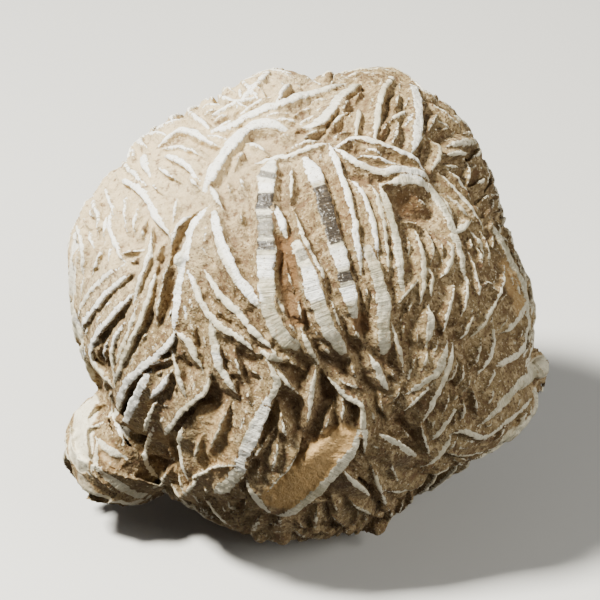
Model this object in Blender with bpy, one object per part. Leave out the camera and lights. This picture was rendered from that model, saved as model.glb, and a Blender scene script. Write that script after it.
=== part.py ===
"""A gypsum sand rose: a ball of intergrown, flat-rimmed blades that rests on one worn facet.

The ball is laid out on a drawing plane that passes through its middle and leans back. On that plane
u runs to the right and v up, in millimetres, and w stands out of it towards the drawer, who looks from a
station point on the w axis. Each crest line of the showy side is drawn there and carried along its sight
line on to the ball. On the far side the blades grow along a field of directions round a few centres.
"""

import math
import random

import bmesh
import bpy
import numpy as np

# Driving dimensions, in millimetres and degrees
CENTRE_HEIGHT = 32.0  # the middle of the ball over the worn facet that it rests on
LEAN_BACK = math.radians(30)  # of the layout plane
STATION = 500.0  # from the middle of the ball to the station point
FRONT_RADIUS = 33.0  # of the ball along w, towards the drawer
BACK_RADIUS = 31.5
MEAN_RADIUS = 34.0
OUTLINE_INSET = 0.7  # the blades stand out of the ball's outline by this much
VALLEY_DEPTH = 1.5  # of the sandy faces under the crests
DOME_FILL = 0.5  # shallower on the middle dome
FOOT_DEPTH = 0.8  # deeper towards the lower front
PACKED_HEIGHT = 7.0  # below this the faces are packed with sand, out to the crests at the worn facet
BLADE_DEPTH = 5.0  # how far a blade runs into the ball
LEANING_DEPTH = 5.0  # further for one that leans over
FLARE = math.tan(math.radians(25))  # how fast a blade thickens inwards
PLATE_FLATNESS = 1.5  # a blade is a flat plate, so its sections are nearly parallel
END_RUN = 3.0  # past each end of its crest a blade dives into the ball
END_DROP = 2.2
STATION_SPACING = 4.0  # along a crest line
BALL_STEPS = 4  # subdivisions of the ball
MOST_TRIANGLES = 9800

# Outline of the ball on the layout plane, clockwise from its left side
OUTLINE = [
    (-34.7, 2), (-35, 10), (-33.5, 13.3), (-30.4, 17.6), (-27.8, 20), (-25, 23.9), (-20, 27.4), (-15, 29.8),
    (-10, 33), (-4.5, 35.2), (1.3, 33.8), (5, 34), (11.4, 35.4), (15, 34.7), (18.8, 32), (23, 29),
    (26.5, 24.8), (29, 19.5), (30.2, 15), (32.5, 7.5), (35.4, 0.5), (35.6, -4), (35, -8), (35.2, -13),
    (34.8, -18), (31.5, -21.4), (25, -25), (19.6, -28.6), (14.7, -32.3), (11, -35), (5, -35.6), (-2.4, -36.6),
    (-8, -35.4), (-13.3, -33.2), (-18, -30.6), (-22, -27), (-25, -22), (-28, -17), (-31.5, -12), (-33.8, -6),
    (-35, -1),
]

# Swellings and saddles of the showy side: u, v, spread, height
SWELLINGS = [
    (4, 6, 12, 1.8),
    (-23, 0, 7, 0.8),
    (-19, 20, 6, 0.8),
    (15, 28, 5, 1.0),
    (27, -1, 7, 0.8),
    (-4, -26, 8, 1.6),
    (22, -20, 6, 1.0),
    (-5, 25, 4, -2.0),
    (20, 15, 3.5, -1.2),
    (4, -13, 5, -1.6),
    (-21, -23, 3, -2.0),
]

# Lobes grown on to the ball: middle on u, v, w, then radii
LOBES = [
    ((-27.4, -22.8, -2), (8.4, 8.6, 9.5)),  # the small rosette at the lower left
    ((34.6, -10.2, 0), (2.8, 1.9, 3.4)),  # the blunt knob on the right
]

# Crest lines of the showy side: width of the flat rim, lean in degrees, then points on the layout plane.
# A blade with a negative lean shows its broad face to the left of a line that runs down.
DOME = [
    (1.5, -8, [(-12.9, 12.8), (-11.9, 8.5), (-10, 4.2), (-6.6, -0.5)]),
    (2.4, -4, [(-4.5, 21), (-5.2, 14), (-5.2, 5), (-4.5, -2), (-0.9, -7)]),
    (2.4, -8, [(-1.4, 12), (0.5, 6.5), (2.5, 0.4), (4.2, -3.8), (6.3, -7.7)]),
    (2.0, -8, [(1, 21.6), (3.6, 15), (5.8, 8), (7.2, 2), (8.3, -2.2)]),
    (0.9, -10, [(4.3, 23.9), (6.5, 18.1), (8.2, 12.5), (9.3, 4.6)]),
    (0.8, -10, [(8.2, 18.2), (10.5, 13.9), (11.9, 6.8)]),
    (2.0, -6, [(10.5, 7.5), (12.4, 0.9), (12.9, -7.7)]),
    (1.3, -6, [(12.4, 17.2), (14.8, 8.5), (15.6, 2)]),
    (0.8, 0, [(-6.3, 21.2), (-1.6, 21.9), (4.2, 24)]),
    (0.7, 0, [(5.1, 23.1), (8.4, 24.5), (15, 22.7), (19, 19.6)]),
    (1.0, 0, [(5.5, 22.9), (10.5, 19.6), (14.6, 19.7), (19.7, 18.2)]),
    (1.3, -10, [(13.1, 17.7), (16.7, 18.2), (20.2, 15.6), (22.8, 10.3)]),
    (0.9, -8, [(17.9, 10.1), (18.8, 4.2), (18.5, 0)]),
    (1.5, -10, [(19.7, -1.5), (19.5, -5.3), (18.7, -10.2)]),
]
MIDDLE = [
    (0.9, -12, [(-14.3, 4.3), (-10.7, -0.8), (-6.8, -5), (-4.2, -7.5)]),
    (0.9, -12, [(-16.7, 4), (-14.1, -1.3), (-9.5, -5.5), (-6, -8)]),
    (1.2, -16, [(-13.6, -3), (-13, -6.3), (-12, -10.3), (-10.1, -13.6)]),
    (1.6, -20, [(-4.8, -9.5), (-3.7, -13.1), (-6.3, -18.5), (-8.5, -23.7), (-12.8, -29.2)]),
    (0.8, -10, [(0.3, -5), (2.7, -9.6)]),
    (0.7, 0, [(2.4, -10.5), (1.2, -18.7)]),
    (1.1, -10, [(10.8, -8.8), (13.2, -13.5)]),
    (0.8, 14, [(4.4, -12), (9.2, -16), (9.9, -23)]),
]
LEFT = [
    (1.2, 24, [(-14.3, 14), (-16.9, 9.4), (-18.4, 2.3), (-18.9, -4.6)]),
    (1.1, -24, [(-18.9, -5), (-22.2, -9.1), (-25.7, -11.7), (-27.8, -18.1)]),
    (1.0, -12, [(-18.7, -4.8), (-16.7, -6.7), (-15.2, -10)]),
    (0.7, -20, [(-22.6, 9.8), (-22.9, 5.4), (-25.2, -0.1)]),
    (0.8, -20, [(-22, 3.9), (-23.8, -3.2), (-27.8, -12)]),
    (0.8, 0, [(-28.4, 13.6), (-28.3, 9.5), (-26.9, 6.1)]),
    (0.7, -26, [(-27.1, 5.1), (-30.7, 2.3), (-33.6, -2.6)]),
    (0.9, -30, [(-26, 3.7), (-29.3, 0.8), (-33, -4.8)]),
    (0.9, -30, [(-25.3, 0.9), (-29.8, -4.1), (-31.4, -9.1), (-28.4, -13.1)]),
    (0.7, -14, [(-26.8, -3.6), (-28.4, -8), (-28, -13)]),
    (1.3, 20, [(-22.9, -11), (-25.7, -16.7), (-25.8, -20.7)]),
    (1.0, -14, [(-19.7, -11.2), (-22.7, -14.9)]),
    (0.8, -24, [(-13.7, -11.7), (-17.7, -16.7), (-20.6, -20.7)]),
    (0.7, 26, [(-22, -19), (-23.2, -24.2), (-20.8, -27.6)]),
    (0.9, 22, [(-18, -19.2), (-18.2, -22.4), (-16.9, -27.5)]),
]
ROSETTE = [
    (0.9, 20, [(-34.2, -26.9), (-31, -29), (-23.6, -31.1)]),
    (1.2, 20, [(-29.8, -25.2), (-27.1, -28), (-21.5, -29.4)]),
    (1.5, -10, [(-30.8, -20.4), (-27.7, -24.5)]),
    (0.7, -10, [(-28.4, -16), (-26.4, -22.1)]),
    (0.7, 20, [(-32.5, -14.8), (-35, -19), (-34.6, -25)]),
]
FRONT_FOOT = [
    (1.5, -32, [(8.6, -20.4), (6.4, -24), (1.2, -29.2), (-3.4, -32.7)]),
    (1.0, 30, [(-8.5, -27.1), (-4.4, -32.5)]),
    (0.8, -20, [(6.7, -26.1), (10.6, -29.5)]),
    (0.6, 10, [(10.9, -25.4), (13.1, -31.1)]),
    (1.0, -40, [(12.2, -20.3), (17.7, -23.7)]),
    (0.6, 30, [(12.8, -28.8), (19, -27.6)]),
    (0.6, 20, [(4.8, -32.7), (7.2, -34.7)]),
    (0.7, 10, [(13.8, -31.8), (12.2, -34.9)]),
    (1.2, 20, [(-6.3, -33.2), (-6.6, -35.6)]),
    (1.2, 20, [(-3, -33), (-2.9, -35.7)]),
    (0.6, 20, [(-15.5, -27), (-18.3, -30)]),
    (0.5, 30, [(-9.8, -24.8), (-16.8, -27)]),
]
RIGHT = [
    (1.2, -24, [(22.4, -6.4), (20.2, -11.4), (16.7, -14)]),
    (0.9, -18, [(23.3, -6.7), (21.7, -12.5), (18.6, -18.5)]),
    (0.7, -10, [(23.5, 2.1), (21.8, -5.1)]),
    (0.6, -10, [(25.6, 3.7), (24.7, -2)]),
    (0.6, -10, [(31.1, 5.1), (29.2, -1.5), (26.1, -5.8)]),
    (1.0, -10, [(30.9, 9), (34.9, 1.6), (35, -5)]),
    (1.1, -24, [(34.4, 0), (30.9, -5.1)]),
    (1.2, -30, [(35.1, -6.5), (30.1, -9.9)]),
    (0.7, -10, [(29.5, -4.1), (26.9, -11.7)]),
    (1.4, -20, [(36.4, -10.2), (33.7, -12.9)]),
    (0.9, -10, [(32.3, -10.7), (30.9, -13.6)]),
    (2.0, -40, [(35.9, -13.8), (34.7, -17.9), (30.1, -21.6)]),
    (1.3, -40, [(33, -13), (27.5, -19.2)]),
    (0.9, -30, [(30.9, -18.3), (26.1, -20.4), (18.5, -25.4)]),
    (0.9, -20, [(23.8, -16.4), (20, -21.4)]),
    (0.5, 30, [(22.4, -23.5), (30.2, -21.8)]),
]
UPPER_RIGHT = [
    (1.5, -10, [(17.1, 32.8), (17.9, 27), (17.1, 22.4)]),
    (0.9, -10, [(14.1, 34), (12.1, 29.1), (11.4, 24.3)]),
    (0.7, -6, [(8.9, 29), (8.4, 24.6)]),
    (1.0, 10, [(22.8, 23.4), (27.3, 23.1)]),
    (0.7, -10, [(21.8, 18.6), (27.8, 11.1)]),
    (0.6, -10, [(28, 21.2), (28.7, 17.4)]),
    (0.8, -10, [(11, 35.3), (18.8, 31.8)]),
]
TOP = [
    (1.0, -8, [(4.1, 32.3), (-6.3, 28.1), (-11.6, 22), (-14.6, 17.6)]),
    (1.7, -20, [(8.9, 32.9), (4.1, 28.1), (0.5, 26.3)]),
    (1.0, -10, [(-4.4, 35.1), (-9.4, 29.7)]),
    (0.8, -14, [(-4.7, 29.8), (-11, 26.7)]),
    (1.0, 14, [(-21.2, 23.8), (-17.7, 25.8), (-13, 23.8)]),
    (0.9, 14, [(-20.7, 22), (-15.6, 18.6)]),
    (1.0, 10, [(-27.1, 18.2), (-23.1, 14.9), (-20, 9.9)]),
    (0.7, -10, [(-13.6, 17.2), (-12, 14.4)]),
    (0.7, 0, [(-27, 21), (-23.5, 17.5)]),
    (0.6, 0, [(-29.5, 17.2), (-28.2, 13)]),
    (0.7, 0, [(-17, 28.6), (-13.5, 26)]),
    (0.7, 0, [(-12.5, 31), (-8.5, 29.5)]),
    (0.6, 10, [(-20.7, 23.1), (-15.3, 22.1)]),
    (0.6, 0, [(-26.4, 16), (-26.5, 10.8)]),
    (0.6, 0, [(-18.8, 15.5), (-19.3, 11.8)]),
    (0.6, 0, [(-33.8, 11.5), (-33.2, 4)]),
]
CRESTS = DOME + MIDDLE + LEFT + ROSETTE + FRONT_FOOT + RIGHT + UPPER_RIGHT + TOP

# Growth of the far side. Each centre sends its blades out along its spokes, turned by some degrees:
# place on u, v, w, then the turn, how far it is felt, and how many degrees its blades lean
CENTRES = [
    ((9, 7, -30), 22, 13, 16),
    ((-16, 17, -22), -38, 11, -22),
    ((-19, -10, -24), 68, 9, 26),
    ((13, -18, -21), -24, 11, -16),
    ((27, 10, -15), 48, 10, 20),
    ((4, 28, -18), -18, 11, 14),
    ((-32, 6, -8), 80, 9, -20),
    ((30, -9, -10), 62, 9, 24),
    ((2, -31, -8), 12, 11, -12),
    ((-4, -13, -30), 86, 8, 28),
    ((22, 26, -4), -30, 9, 18),
    ((-12, 30, -6), 35, 9, -14),
    ((-29, -24, -6), 30, 6, 16),
    ((18, -4, -27), 75, 8, -24),
]
GROWTH_SEED = 8
GROWTH_STEP = 0.6
GROWTH_TRIES = 500
GROWTH_LENGTHS = (9.0, 26.0)
GROWTH_GAP = 2.5  # between neighbouring crests
GROWTH_SWERVE = 10  # degrees off the field
GROWTH_CURL = 2.2  # degrees a step
HORIZON = 14.0  # the far side starts at this height of w
STRAIGHT_ENOUGH = math.cos(math.radians(36))  # a line turns no further than this from its middle
SLIMMEST = 0.6  # rim of a grown blade

RIGHT_AXIS = np.array([1.0, 0.0, 0.0])
UP_AXIS = np.array([0.0, math.sin(LEAN_BACK), math.cos(LEAN_BACK)])
TOWARD_AXIS = np.array([0.0, -math.cos(LEAN_BACK), math.sin(LEAN_BACK)])
LAYOUT_AXES = np.array([RIGHT_AXIS, UP_AXIS, TOWARD_AXIS])


def to_world(points):
    """Layout coordinates in millimetres to world coordinates in metres."""
    return (points @ LAYOUT_AXES + (0, 0, CENTRE_HEIGHT)) / 1000


def unit(vectors):
    return vectors / np.linalg.norm(vectors, axis=-1, keepdims=True)


def outline_table():
    """The outline's radius for each degree round the w axis, smoothed over a few degrees."""
    u, v = np.array(OUTLINE, float).T
    angle = np.arctan2(v, u)
    order = np.argsort(angle)
    degrees = np.radians(np.arange(-180, 180))
    radius = np.interp(degrees, angle[order], np.hypot(u, v)[order], period=2 * math.pi)
    window = np.exp(-((np.arange(-9, 10) / 4) ** 2))
    wrapped = np.concatenate([radius[-9:], radius, radius[:9]])
    return np.convolve(wrapped, window / window.sum(), "valid") - OUTLINE_INSET


OUTLINE_RADIUS = outline_table()


def ball_radius(direction):
    """Distance from the middle to the crests' level, for each unit vector."""
    angle = np.degrees(np.arctan2(direction[:, 1], direction[:, 0])) + 180
    side = np.hypot(direction[:, 0], direction[:, 1])
    toward = direction[:, 2]
    rim = np.interp(angle, np.arange(361), np.append(OUTLINE_RADIUS, OUTLINE_RADIUS[0]))
    girth = MEAN_RADIUS + (rim - MEAN_RADIUS) * side**2
    depth = np.where(toward > 0, FRONT_RADIUS, BACK_RADIUS)
    radius = 1 / np.hypot(side / girth, toward / depth)
    facing = np.clip(toward * 3, 0, 1)
    for u, v, spread, height in SWELLINGS:
        away = np.hypot(direction[:, 0] * radius - u, direction[:, 1] * radius - v)
        radius = radius + height * facing * np.exp(-((away / spread) ** 2) / 2)
    return radius


def over_crests(points):
    """How far each point lies over the level of the crests, in millimetres."""
    distance = np.linalg.norm(points, axis=1)
    level = distance - ball_radius(points / distance[:, None])
    for middle, radii in LOBES:
        reach = np.linalg.norm((points - middle) / np.array(radii), axis=1)
        level = np.minimum(level, (reach - 1) * min(radii))
    return level


def outward_at(points):
    """The unit normal of the crests' level."""
    step = 0.5
    slopes = [over_crests(points + step * axis) - over_crests(points - step * axis) for axis in np.eye(3)]
    return unit(np.stack(slopes, axis=1))


def on_crests(line):
    """Layout points carried along their sight lines on to the crests, or beside them past the outline."""
    heights = np.arange(40, -16, -0.5)
    placed = []
    for u, v in line:
        scale = 1 - heights / STATION
        ray = np.stack([u * scale, v * scale, heights], axis=1)
        level = over_crests(ray)
        inside = np.flatnonzero(level <= 0)
        if len(inside) and inside[0] > 0:
            after = inside[0]
            share = level[after - 1] / (level[after - 1] - level[after])
            placed.append(ray[after - 1] + share * (ray[after] - ray[after - 1]))
        else:
            placed.append(ray[np.argmin(level)])
    return np.array(placed)


def spline(points, spacing):
    """Points along a smooth curve through the given ones."""
    points = np.array(points, float)
    lead = 2 * points[0] - points[1]
    tail = 2 * points[-1] - points[-2]
    knots = np.vstack([lead, points, tail])
    curve = []
    for before, start, end, after in zip(knots, knots[1:], knots[2:], knots[3:]):
        count = max(1, round(np.linalg.norm(end - start) / spacing))
        for t in np.arange(count) / count:
            curve.append(
                0.5 * (2 * start + (end - before) * t + (2 * before - 5 * start + 4 * end - after) * t**2
                       + (3 * start - before - 3 * end + after) * t**3)
            )
    curve.append(points[-1])
    return np.array(curve)


def valley_depth(points):
    """Depth of the sandy faces under the crests' level."""
    u, v = points[:, 0], points[:, 1]
    facing = np.clip(points[:, 2] / 10, 0, 1)
    dome = np.exp(-(np.hypot(u - 4, v - 6) ** 2) / (2 * 13**2))
    foot = np.clip((-5 - v) / 20, 0, 1)
    height = points @ LAYOUT_AXES[:, 2] + CENTRE_HEIGHT
    packed = np.clip(height / PACKED_HEIGHT, 0, 1)
    return (VALLEY_DEPTH + facing * (FOOT_DEPTH * foot - DOME_FILL * dome)) * packed


def loft(name, rings, material, collection):
    """A closed mesh through rings with the same number of points, capped at both ends."""
    count = len(rings[0])
    shape = bmesh.new()
    rows = [[shape.verts.new(point) for point in to_world(ring)] for ring in rings]
    for row, following in zip(rows, rows[1:]):
        for i in range(count):
            j = (i + 1) % count
            shape.faces.new((row[i], row[j], following[j], following[i]))
    shape.faces.new(list(reversed(rows[0])))
    shape.faces.new(rows[-1])
    bmesh.ops.triangulate(shape, faces=shape.faces)
    bmesh.ops.recalc_face_normals(shape, faces=shape.faces)
    mesh = bpy.data.meshes.new(name)
    shape.to_mesh(mesh)
    shape.free()
    mesh.materials.append(material)
    thing = bpy.data.objects.new(name, mesh)
    collection.objects.link(thing)
    return thing


def blade_rings(crest, outward, width, lean, depth=BLADE_DEPTH):
    """Cross-sections of a blade: a flat rim on the crest line, and sides that spread into the ball."""
    along = unit(np.gradient(crest, axis=0))
    side = unit(np.cross(outward, along))
    turn = math.radians(lean)
    inward = -outward * math.cos(turn) + side * math.sin(turn)
    inward = unit(inward + PLATE_FLATNESS * inward.mean(axis=0))
    across = unit(np.cross(along, inward))
    depth = depth + LEANING_DEPTH * abs(math.sin(turn))
    ends = [
        crest[0] - along[0] * END_RUN + inward[0] * END_DROP,
        crest[-1] + along[-1] * END_RUN + inward[-1] * END_DROP,
    ]
    tops = np.vstack([ends[0], crest, ends[1]])
    inward = np.vstack([inward[0], inward, inward[-1]])
    across = np.vstack([across[0], across, across[-1]])
    half = np.full(len(tops), width / 2)
    half[[0, -1]] *= 0.4
    reach = np.full(len(tops), depth)
    reach[[0, -1]] -= END_DROP
    rings = []
    for top, inner, wide, narrow, deep in zip(tops, inward, across, half, reach):
        root = top + inner * deep
        broad = narrow + deep * FLARE
        rings.append(
            np.array([top - wide * narrow, top + wide * narrow, root + wide * broad, root - wide * broad])
        )
    return rings


def onto_crests(points, rounds=2):
    """Slides points on to the level of the crests."""
    for _ in range(rounds):
        points = points - over_crests(points)[:, None] * outward_at(points)
    return points


def growth_way(points, outward, off):
    """The way that blades grow at each point, turned off the field by its own angle."""
    total = np.zeros_like(points)
    for centre, turn, reach, _ in CENTRES:
        away = points - centre
        weight = np.exp(-((np.linalg.norm(away, axis=1) / reach) ** 2))
        spoke = unit(away - (away * outward).sum(1)[:, None] * outward + 1e-9)
        swing = math.radians(turn) + off
        swung = spoke * np.cos(swing)[:, None] + np.cross(outward, spoke) * np.sin(swing)[:, None]
        total += weight[:, None] * swung
    return unit(total + 1e-9)


def grow_both_ways(start, off, curl, steps):
    """Tracks that leave each starting point in the two opposite ways."""
    tracks = []
    for sign in (1, -1):
        place, way, track = start, None, []
        for step in range(steps):
            ahead = growth_way(place, outward_at(place), off + sign * curl * step)
            if way is None:
                ahead = ahead * sign
            else:
                ahead = ahead * np.where((ahead * way).sum(1) < 0, -1, 1)[:, None]
                ahead = unit(0.6 * way + 0.4 * ahead)
            way = ahead
            place = onto_crests(place + way * GROWTH_STEP, 1)
            track.append(place)
        tracks.append(np.stack(track, axis=1))
    return tracks


def grown_blades():
    """Rings of the far side's blades. Each line grows until it comes near another."""
    chance = np.random.RandomState(GROWTH_SEED)
    start = unit(chance.normal(size=(GROWTH_TRIES * 2, 3)))
    start = start[start[:, 2] < HORIZON / MEAN_RADIUS][:GROWTH_TRIES]
    start = onto_crests(start * 40, 5)
    off = np.radians(chance.uniform(-GROWTH_SWERVE, GROWTH_SWERVE, len(start)))
    curl = np.radians(chance.uniform(-GROWTH_CURL, GROWTH_CURL, len(start)))
    shortest, longest = GROWTH_LENGTHS
    length = chance.uniform(0, 1, len(start)) ** 1.5 * (longest - shortest) + shortest
    broad = chance.uniform(0.5, 1.5, len(start))
    tilt = chance.uniform(0.3, 1.4, len(start))
    onward, back = grow_both_ways(start, off, curl, int(longest / GROWTH_STEP / 2))
    taken = [on_crests(spline(points, 1.0)) for _, _, points in CRESTS]
    found = []
    for i, middle in enumerate(start):
        half = max(1, int(length[i] / GROWTH_STEP / 2))
        line = np.vstack([back[i, :half][::-1], middle, onward[i, :half]])
        others = np.vstack(taken)
        clear = np.linalg.norm(line[:, None] - others[None], axis=2).min(axis=1) > GROWTH_GAP
        clear &= line[:, 2] < HORIZON + 1
        outward = outward_at(line)
        heading = unit(np.gradient(line, axis=0))
        clear &= outward @ outward[half] > STRAIGHT_ENOUGH
        clear &= heading @ heading[half] > STRAIGHT_ENOUGH
        if not clear[half]:
            continue
        low = high = half
        while low > 0 and clear[low - 1]:
            low -= 1
        while high < len(line) - 1 and clear[high + 1]:
            high += 1
        line = line[low:high + 1]
        run = (len(line) - 1) * GROWTH_STEP
        if run < shortest:
            continue
        taken.append(line)
        near = min(CENTRES, key=lambda centre: np.linalg.norm(middle - centre[0]))
        width = min(1.6, max(SLIMMEST, 0.42 + 0.05 * run * broad[i]))
        stations = np.linspace(0, len(line) - 1, round(run / STATION_SPACING) + 1).round().astype(int)
        crest = line[stations]
        found.append(blade_rings(crest, outward_at(crest), width, near[3] * tilt[i]))
    return found


def gypsum():
    material = bpy.data.materials.new("gypsum")
    material.use_nodes = True
    surface = material.node_tree.nodes["Principled BSDF"]
    surface.inputs["Base Color"].default_value = (0.55, 0.42, 0.28, 1)
    surface.inputs["Roughness"].default_value = 0.85
    surface.inputs["Metallic"].default_value = 0.0
    return material


def ball(material, collection):
    """The body that the blades grow out of, at the level of the sandy faces."""
    bpy.ops.mesh.primitive_ico_sphere_add(subdivisions=BALL_STEPS, radius=1)
    thing = bpy.context.object
    thing.name = "sand_rose"
    points = np.array([vertex.co for vertex in thing.data.vertices])
    direction = unit(points)
    level = direction * ball_radius(direction)[:, None]
    sunk = level - direction * valley_depth(level)[:, None]
    for vertex, place in zip(thing.data.vertices, to_world(sunk)):
        vertex.co = place
    thing.data.materials.append(material)
    for owner in list(thing.users_collection):
        owner.objects.unlink(thing)
    collection.objects.link(thing)
    return thing


def lobe(number, middle, radii, material, collection):
    bpy.ops.mesh.primitive_ico_sphere_add(subdivisions=3, radius=1)
    thing = bpy.context.object
    thing.name = f"lobe_{number}"
    sunk = np.array(radii) - min(VALLEY_DEPTH, min(radii) / 3)
    points = np.array([vertex.co for vertex in thing.data.vertices]) * sunk + middle
    for vertex, place in zip(thing.data.vertices, to_world(points)):
        vertex.co = place
    thing.data.materials.append(material)
    for owner in list(thing.users_collection):
        owner.objects.unlink(thing)
    collection.objects.link(thing)


def ground(collection):
    """Everything under the resting plane, to be cut away."""
    size = 0.2
    bpy.ops.mesh.primitive_cube_add(size=size, location=(0, 0, -size / 2))
    thing = bpy.context.object
    thing.name = "ground"
    for owner in list(thing.users_collection):
        owner.objects.unlink(thing)
    collection.objects.link(thing)
    return thing


def keep_outer_body(thing):
    """Leaves only the largest connected surface: blades can close off small pockets between them."""
    shape = bmesh.new()
    shape.from_mesh(thing.data)
    bmesh.ops.remove_doubles(shape, verts=shape.verts, dist=1e-7)
    left = set(shape.verts)
    bodies = []
    while left:
        reached = {left.pop()}
        front = list(reached)
        while front:
            for edge in front.pop().link_edges:
                for vertex in edge.verts:
                    if vertex in left:
                        left.discard(vertex)
                        reached.add(vertex)
                        front.append(vertex)
        bodies.append(reached)
    largest = max(bodies, key=len)
    spare = [vertex for vertex in shape.verts if vertex not in largest]
    bmesh.ops.delete(shape, geom=spare, context="VERTS")
    shape.to_mesh(thing.data)
    shape.free()


def thin(thing):
    """Collapses the slivers that the joins leave, down to a modest number of triangles."""
    fewer = thing.modifiers.new("fewer faces", "DECIMATE")
    thing.data.calc_loop_triangles()
    fewer.ratio = min(1, MOST_TRIANGLES / len(thing.data.loop_triangles))
    graph = bpy.context.evaluated_depsgraph_get()
    thinned = bpy.data.meshes.new_from_object(thing.evaluated_get(graph))
    thing.modifiers.clear()
    thing.data = thinned


def main():
    for thing in list(bpy.data.objects):
        bpy.data.objects.remove(thing, do_unlink=True)
    scene = bpy.context.scene
    rose = bpy.data.collections.new("gypsum_sand_rose")
    blades = bpy.data.collections.new("blades")
    cutters = bpy.data.collections.new("cutters")
    for collection in (rose, blades, cutters):
        scene.collection.children.link(collection)

    material = gypsum()
    body = ball(material, rose)
    for number, (middle, radii) in enumerate(LOBES):
        lobe(number, middle, radii, material, blades)
    near_blades = []
    for width, lean, points in CRESTS:
        crest = on_crests(spline(points, STATION_SPACING))
        near_blades.append(blade_rings(crest, outward_at(crest), width, lean))
    for number, rings in enumerate(near_blades + grown_blades()):
        loft(f"blade_{number}", rings, material, blades)

    grown = body.modifiers.new("grown together", "BOOLEAN")
    grown.operation = "UNION"
    grown.operand_type = "COLLECTION"
    grown.collection = blades
    grown.solver = "EXACT"
    worn = body.modifiers.new("worn facet", "BOOLEAN")
    worn.operation = "DIFFERENCE"
    worn.object = ground(cutters)
    worn.solver = "EXACT"

    graph = bpy.context.evaluated_depsgraph_get()
    finished = bpy.data.meshes.new_from_object(body.evaluated_get(graph))
    body.modifiers.clear()
    body.data = finished
    body.data.name = "sand_rose"
    keep_outer_body(body)
    thin(body)
    for collection in (blades, cutters):
        for helper in collection.objects:
            helper.hide_render = True
            helper.display_type = "WIRE"
        collection.hide_render = True


main()
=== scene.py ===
"""Looks of a gypsum sand rose: a ball of intergrown blades with pale, striated rims and sandy hollows.

The frame's one solid is replaced by a fine mesh of the same rose. Its body and blades are built in
millimetres on a layout plane through the ball's middle: u to the right, v up, w towards the viewer, who
looks from a station point on the w axis. The blades are closed lofts that are turned into a distance
field, joined softly with the sandy body, roughened and meshed again.
"""

import math
import random

import bpy
import numpy as np
import openvdb
from mathutils import Matrix, Vector
from mathutils.kdtree import KDTree


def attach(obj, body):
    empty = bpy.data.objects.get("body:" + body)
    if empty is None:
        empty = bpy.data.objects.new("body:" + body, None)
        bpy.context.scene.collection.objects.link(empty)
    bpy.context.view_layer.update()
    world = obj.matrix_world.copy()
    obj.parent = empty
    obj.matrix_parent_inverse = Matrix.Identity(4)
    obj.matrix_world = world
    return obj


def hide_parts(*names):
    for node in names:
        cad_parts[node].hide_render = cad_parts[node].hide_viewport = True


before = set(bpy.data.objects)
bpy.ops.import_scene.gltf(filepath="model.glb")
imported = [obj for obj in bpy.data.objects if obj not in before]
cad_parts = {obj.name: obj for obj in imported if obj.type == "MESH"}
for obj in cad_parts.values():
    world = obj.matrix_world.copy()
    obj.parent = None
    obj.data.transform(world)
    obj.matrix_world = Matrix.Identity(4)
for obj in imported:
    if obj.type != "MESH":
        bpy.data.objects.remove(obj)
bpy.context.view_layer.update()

# The ball, in millimetres, as the frame's solid has it but for the inset
CENTRE_HEIGHT = 32.0
LEAN_BACK = math.radians(30)
STATION = 500.0
VIEW_WIDTH = 90.0  # what the picture takes in at the ball's middle
FRONT_RADIUS = 33.0
BACK_RADIUS = 31.5
MEAN_RADIUS = 34.0
OUTLINE_INSET = 0.3
PACKED_HEIGHT = 7.0

# Blades
BLADE_DEPTH = 4.6
LEANING_DEPTH = 4.0
PLATE_FLATNESS = 1.5
END_RUN = 2.8
END_DROP = 2.2
SUNK_TIP = 0.35
TAPER = 3.2  # how far from its ends a rim starts to narrow
BLUNT_FROM = (0.7, 1.7)  # between these widths the ends turn from pointed to blunt
BLUNTNESS = (0.2, 0.62)  # the share of its width that a rim keeps at a pointed and at a blunt end
UPRIGHT = 8  # a blade that leans further is always pointed
FULL_LEAN = 26  # a blade that leans this far has its full broad and steep side
STATION_SPACING = 0.6
RAGGED = 0.05  # sideways wander of a rim
# Depth under the crest, then how much wider than the rim a blade is there: on both sides of an upright
# one, and on the broad and the steep side of one that leans
PROFILE = [
    (0.0, -0.08, -0.05, -0.08),
    (0.14, 0.0, 0.04, 0.0),
    (0.5, 0.14, 0.42, 0.03),
    (1.0, 0.42, 1.05, 0.1),
    (1.7, 1.0, 2.1, 0.25),
    (2.6, 1.9, 3.5, 0.6),
    (3.6, 3.0, 5.0, 1.2),
]
ROOT = 1.0

# Sandy body, in millimetres under the crests
SAND_DEPTH = 2.3
DOME_SAND = 0.8  # shallower on the middle dome
FOOT_SAND = 1.0
# Where it is shallower: place, spread, how much less
SHALLOWS = [
    ((-24, 20), 8.0, 1.2), ((25, 3), 7.0, 1.1), ((29, -8), 5.0, 0.8),
]

# Fine mesh: name, from and to along u, from and to along w, size of a cell
FINE, COARSE = ((0.25, 0.36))
PIECES = [
    ("rose_left", -40, -15.8, -4, 40, FINE),
    ("rose_left_middle", -15.8, 0.8, -4, 40, FINE),
    ("rose_right_middle", 0.8, 16.6, -4, 40, FINE),
    ("rose_right", 16.6, 40, -4, 40, FINE),
    ("rose_back_left", -40, 0, -40, -4, COARSE),
    ("rose_back_right", 0, 40, -40, -4, COARSE),
]
V_RANGE = (-40, 40)
ROOM = np.array([(-39.5, -39.5, -36), (39.5, 38.5, 37)])  # two corners of the box that holds the rose
OVERLAP = 0.6  # how far a piece runs into its neighbours
SUNK = 0.07  # and how far under their surface it lies there
BAND = 3  # cells of distance kept round each blade
MERGE = 0.01  # how readily cells on flat stretches are merged
COARSE_SPACING = 0.9
FILLET = 0.35  # of the soft joins
KNOB_BLEND = 0.6

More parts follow.
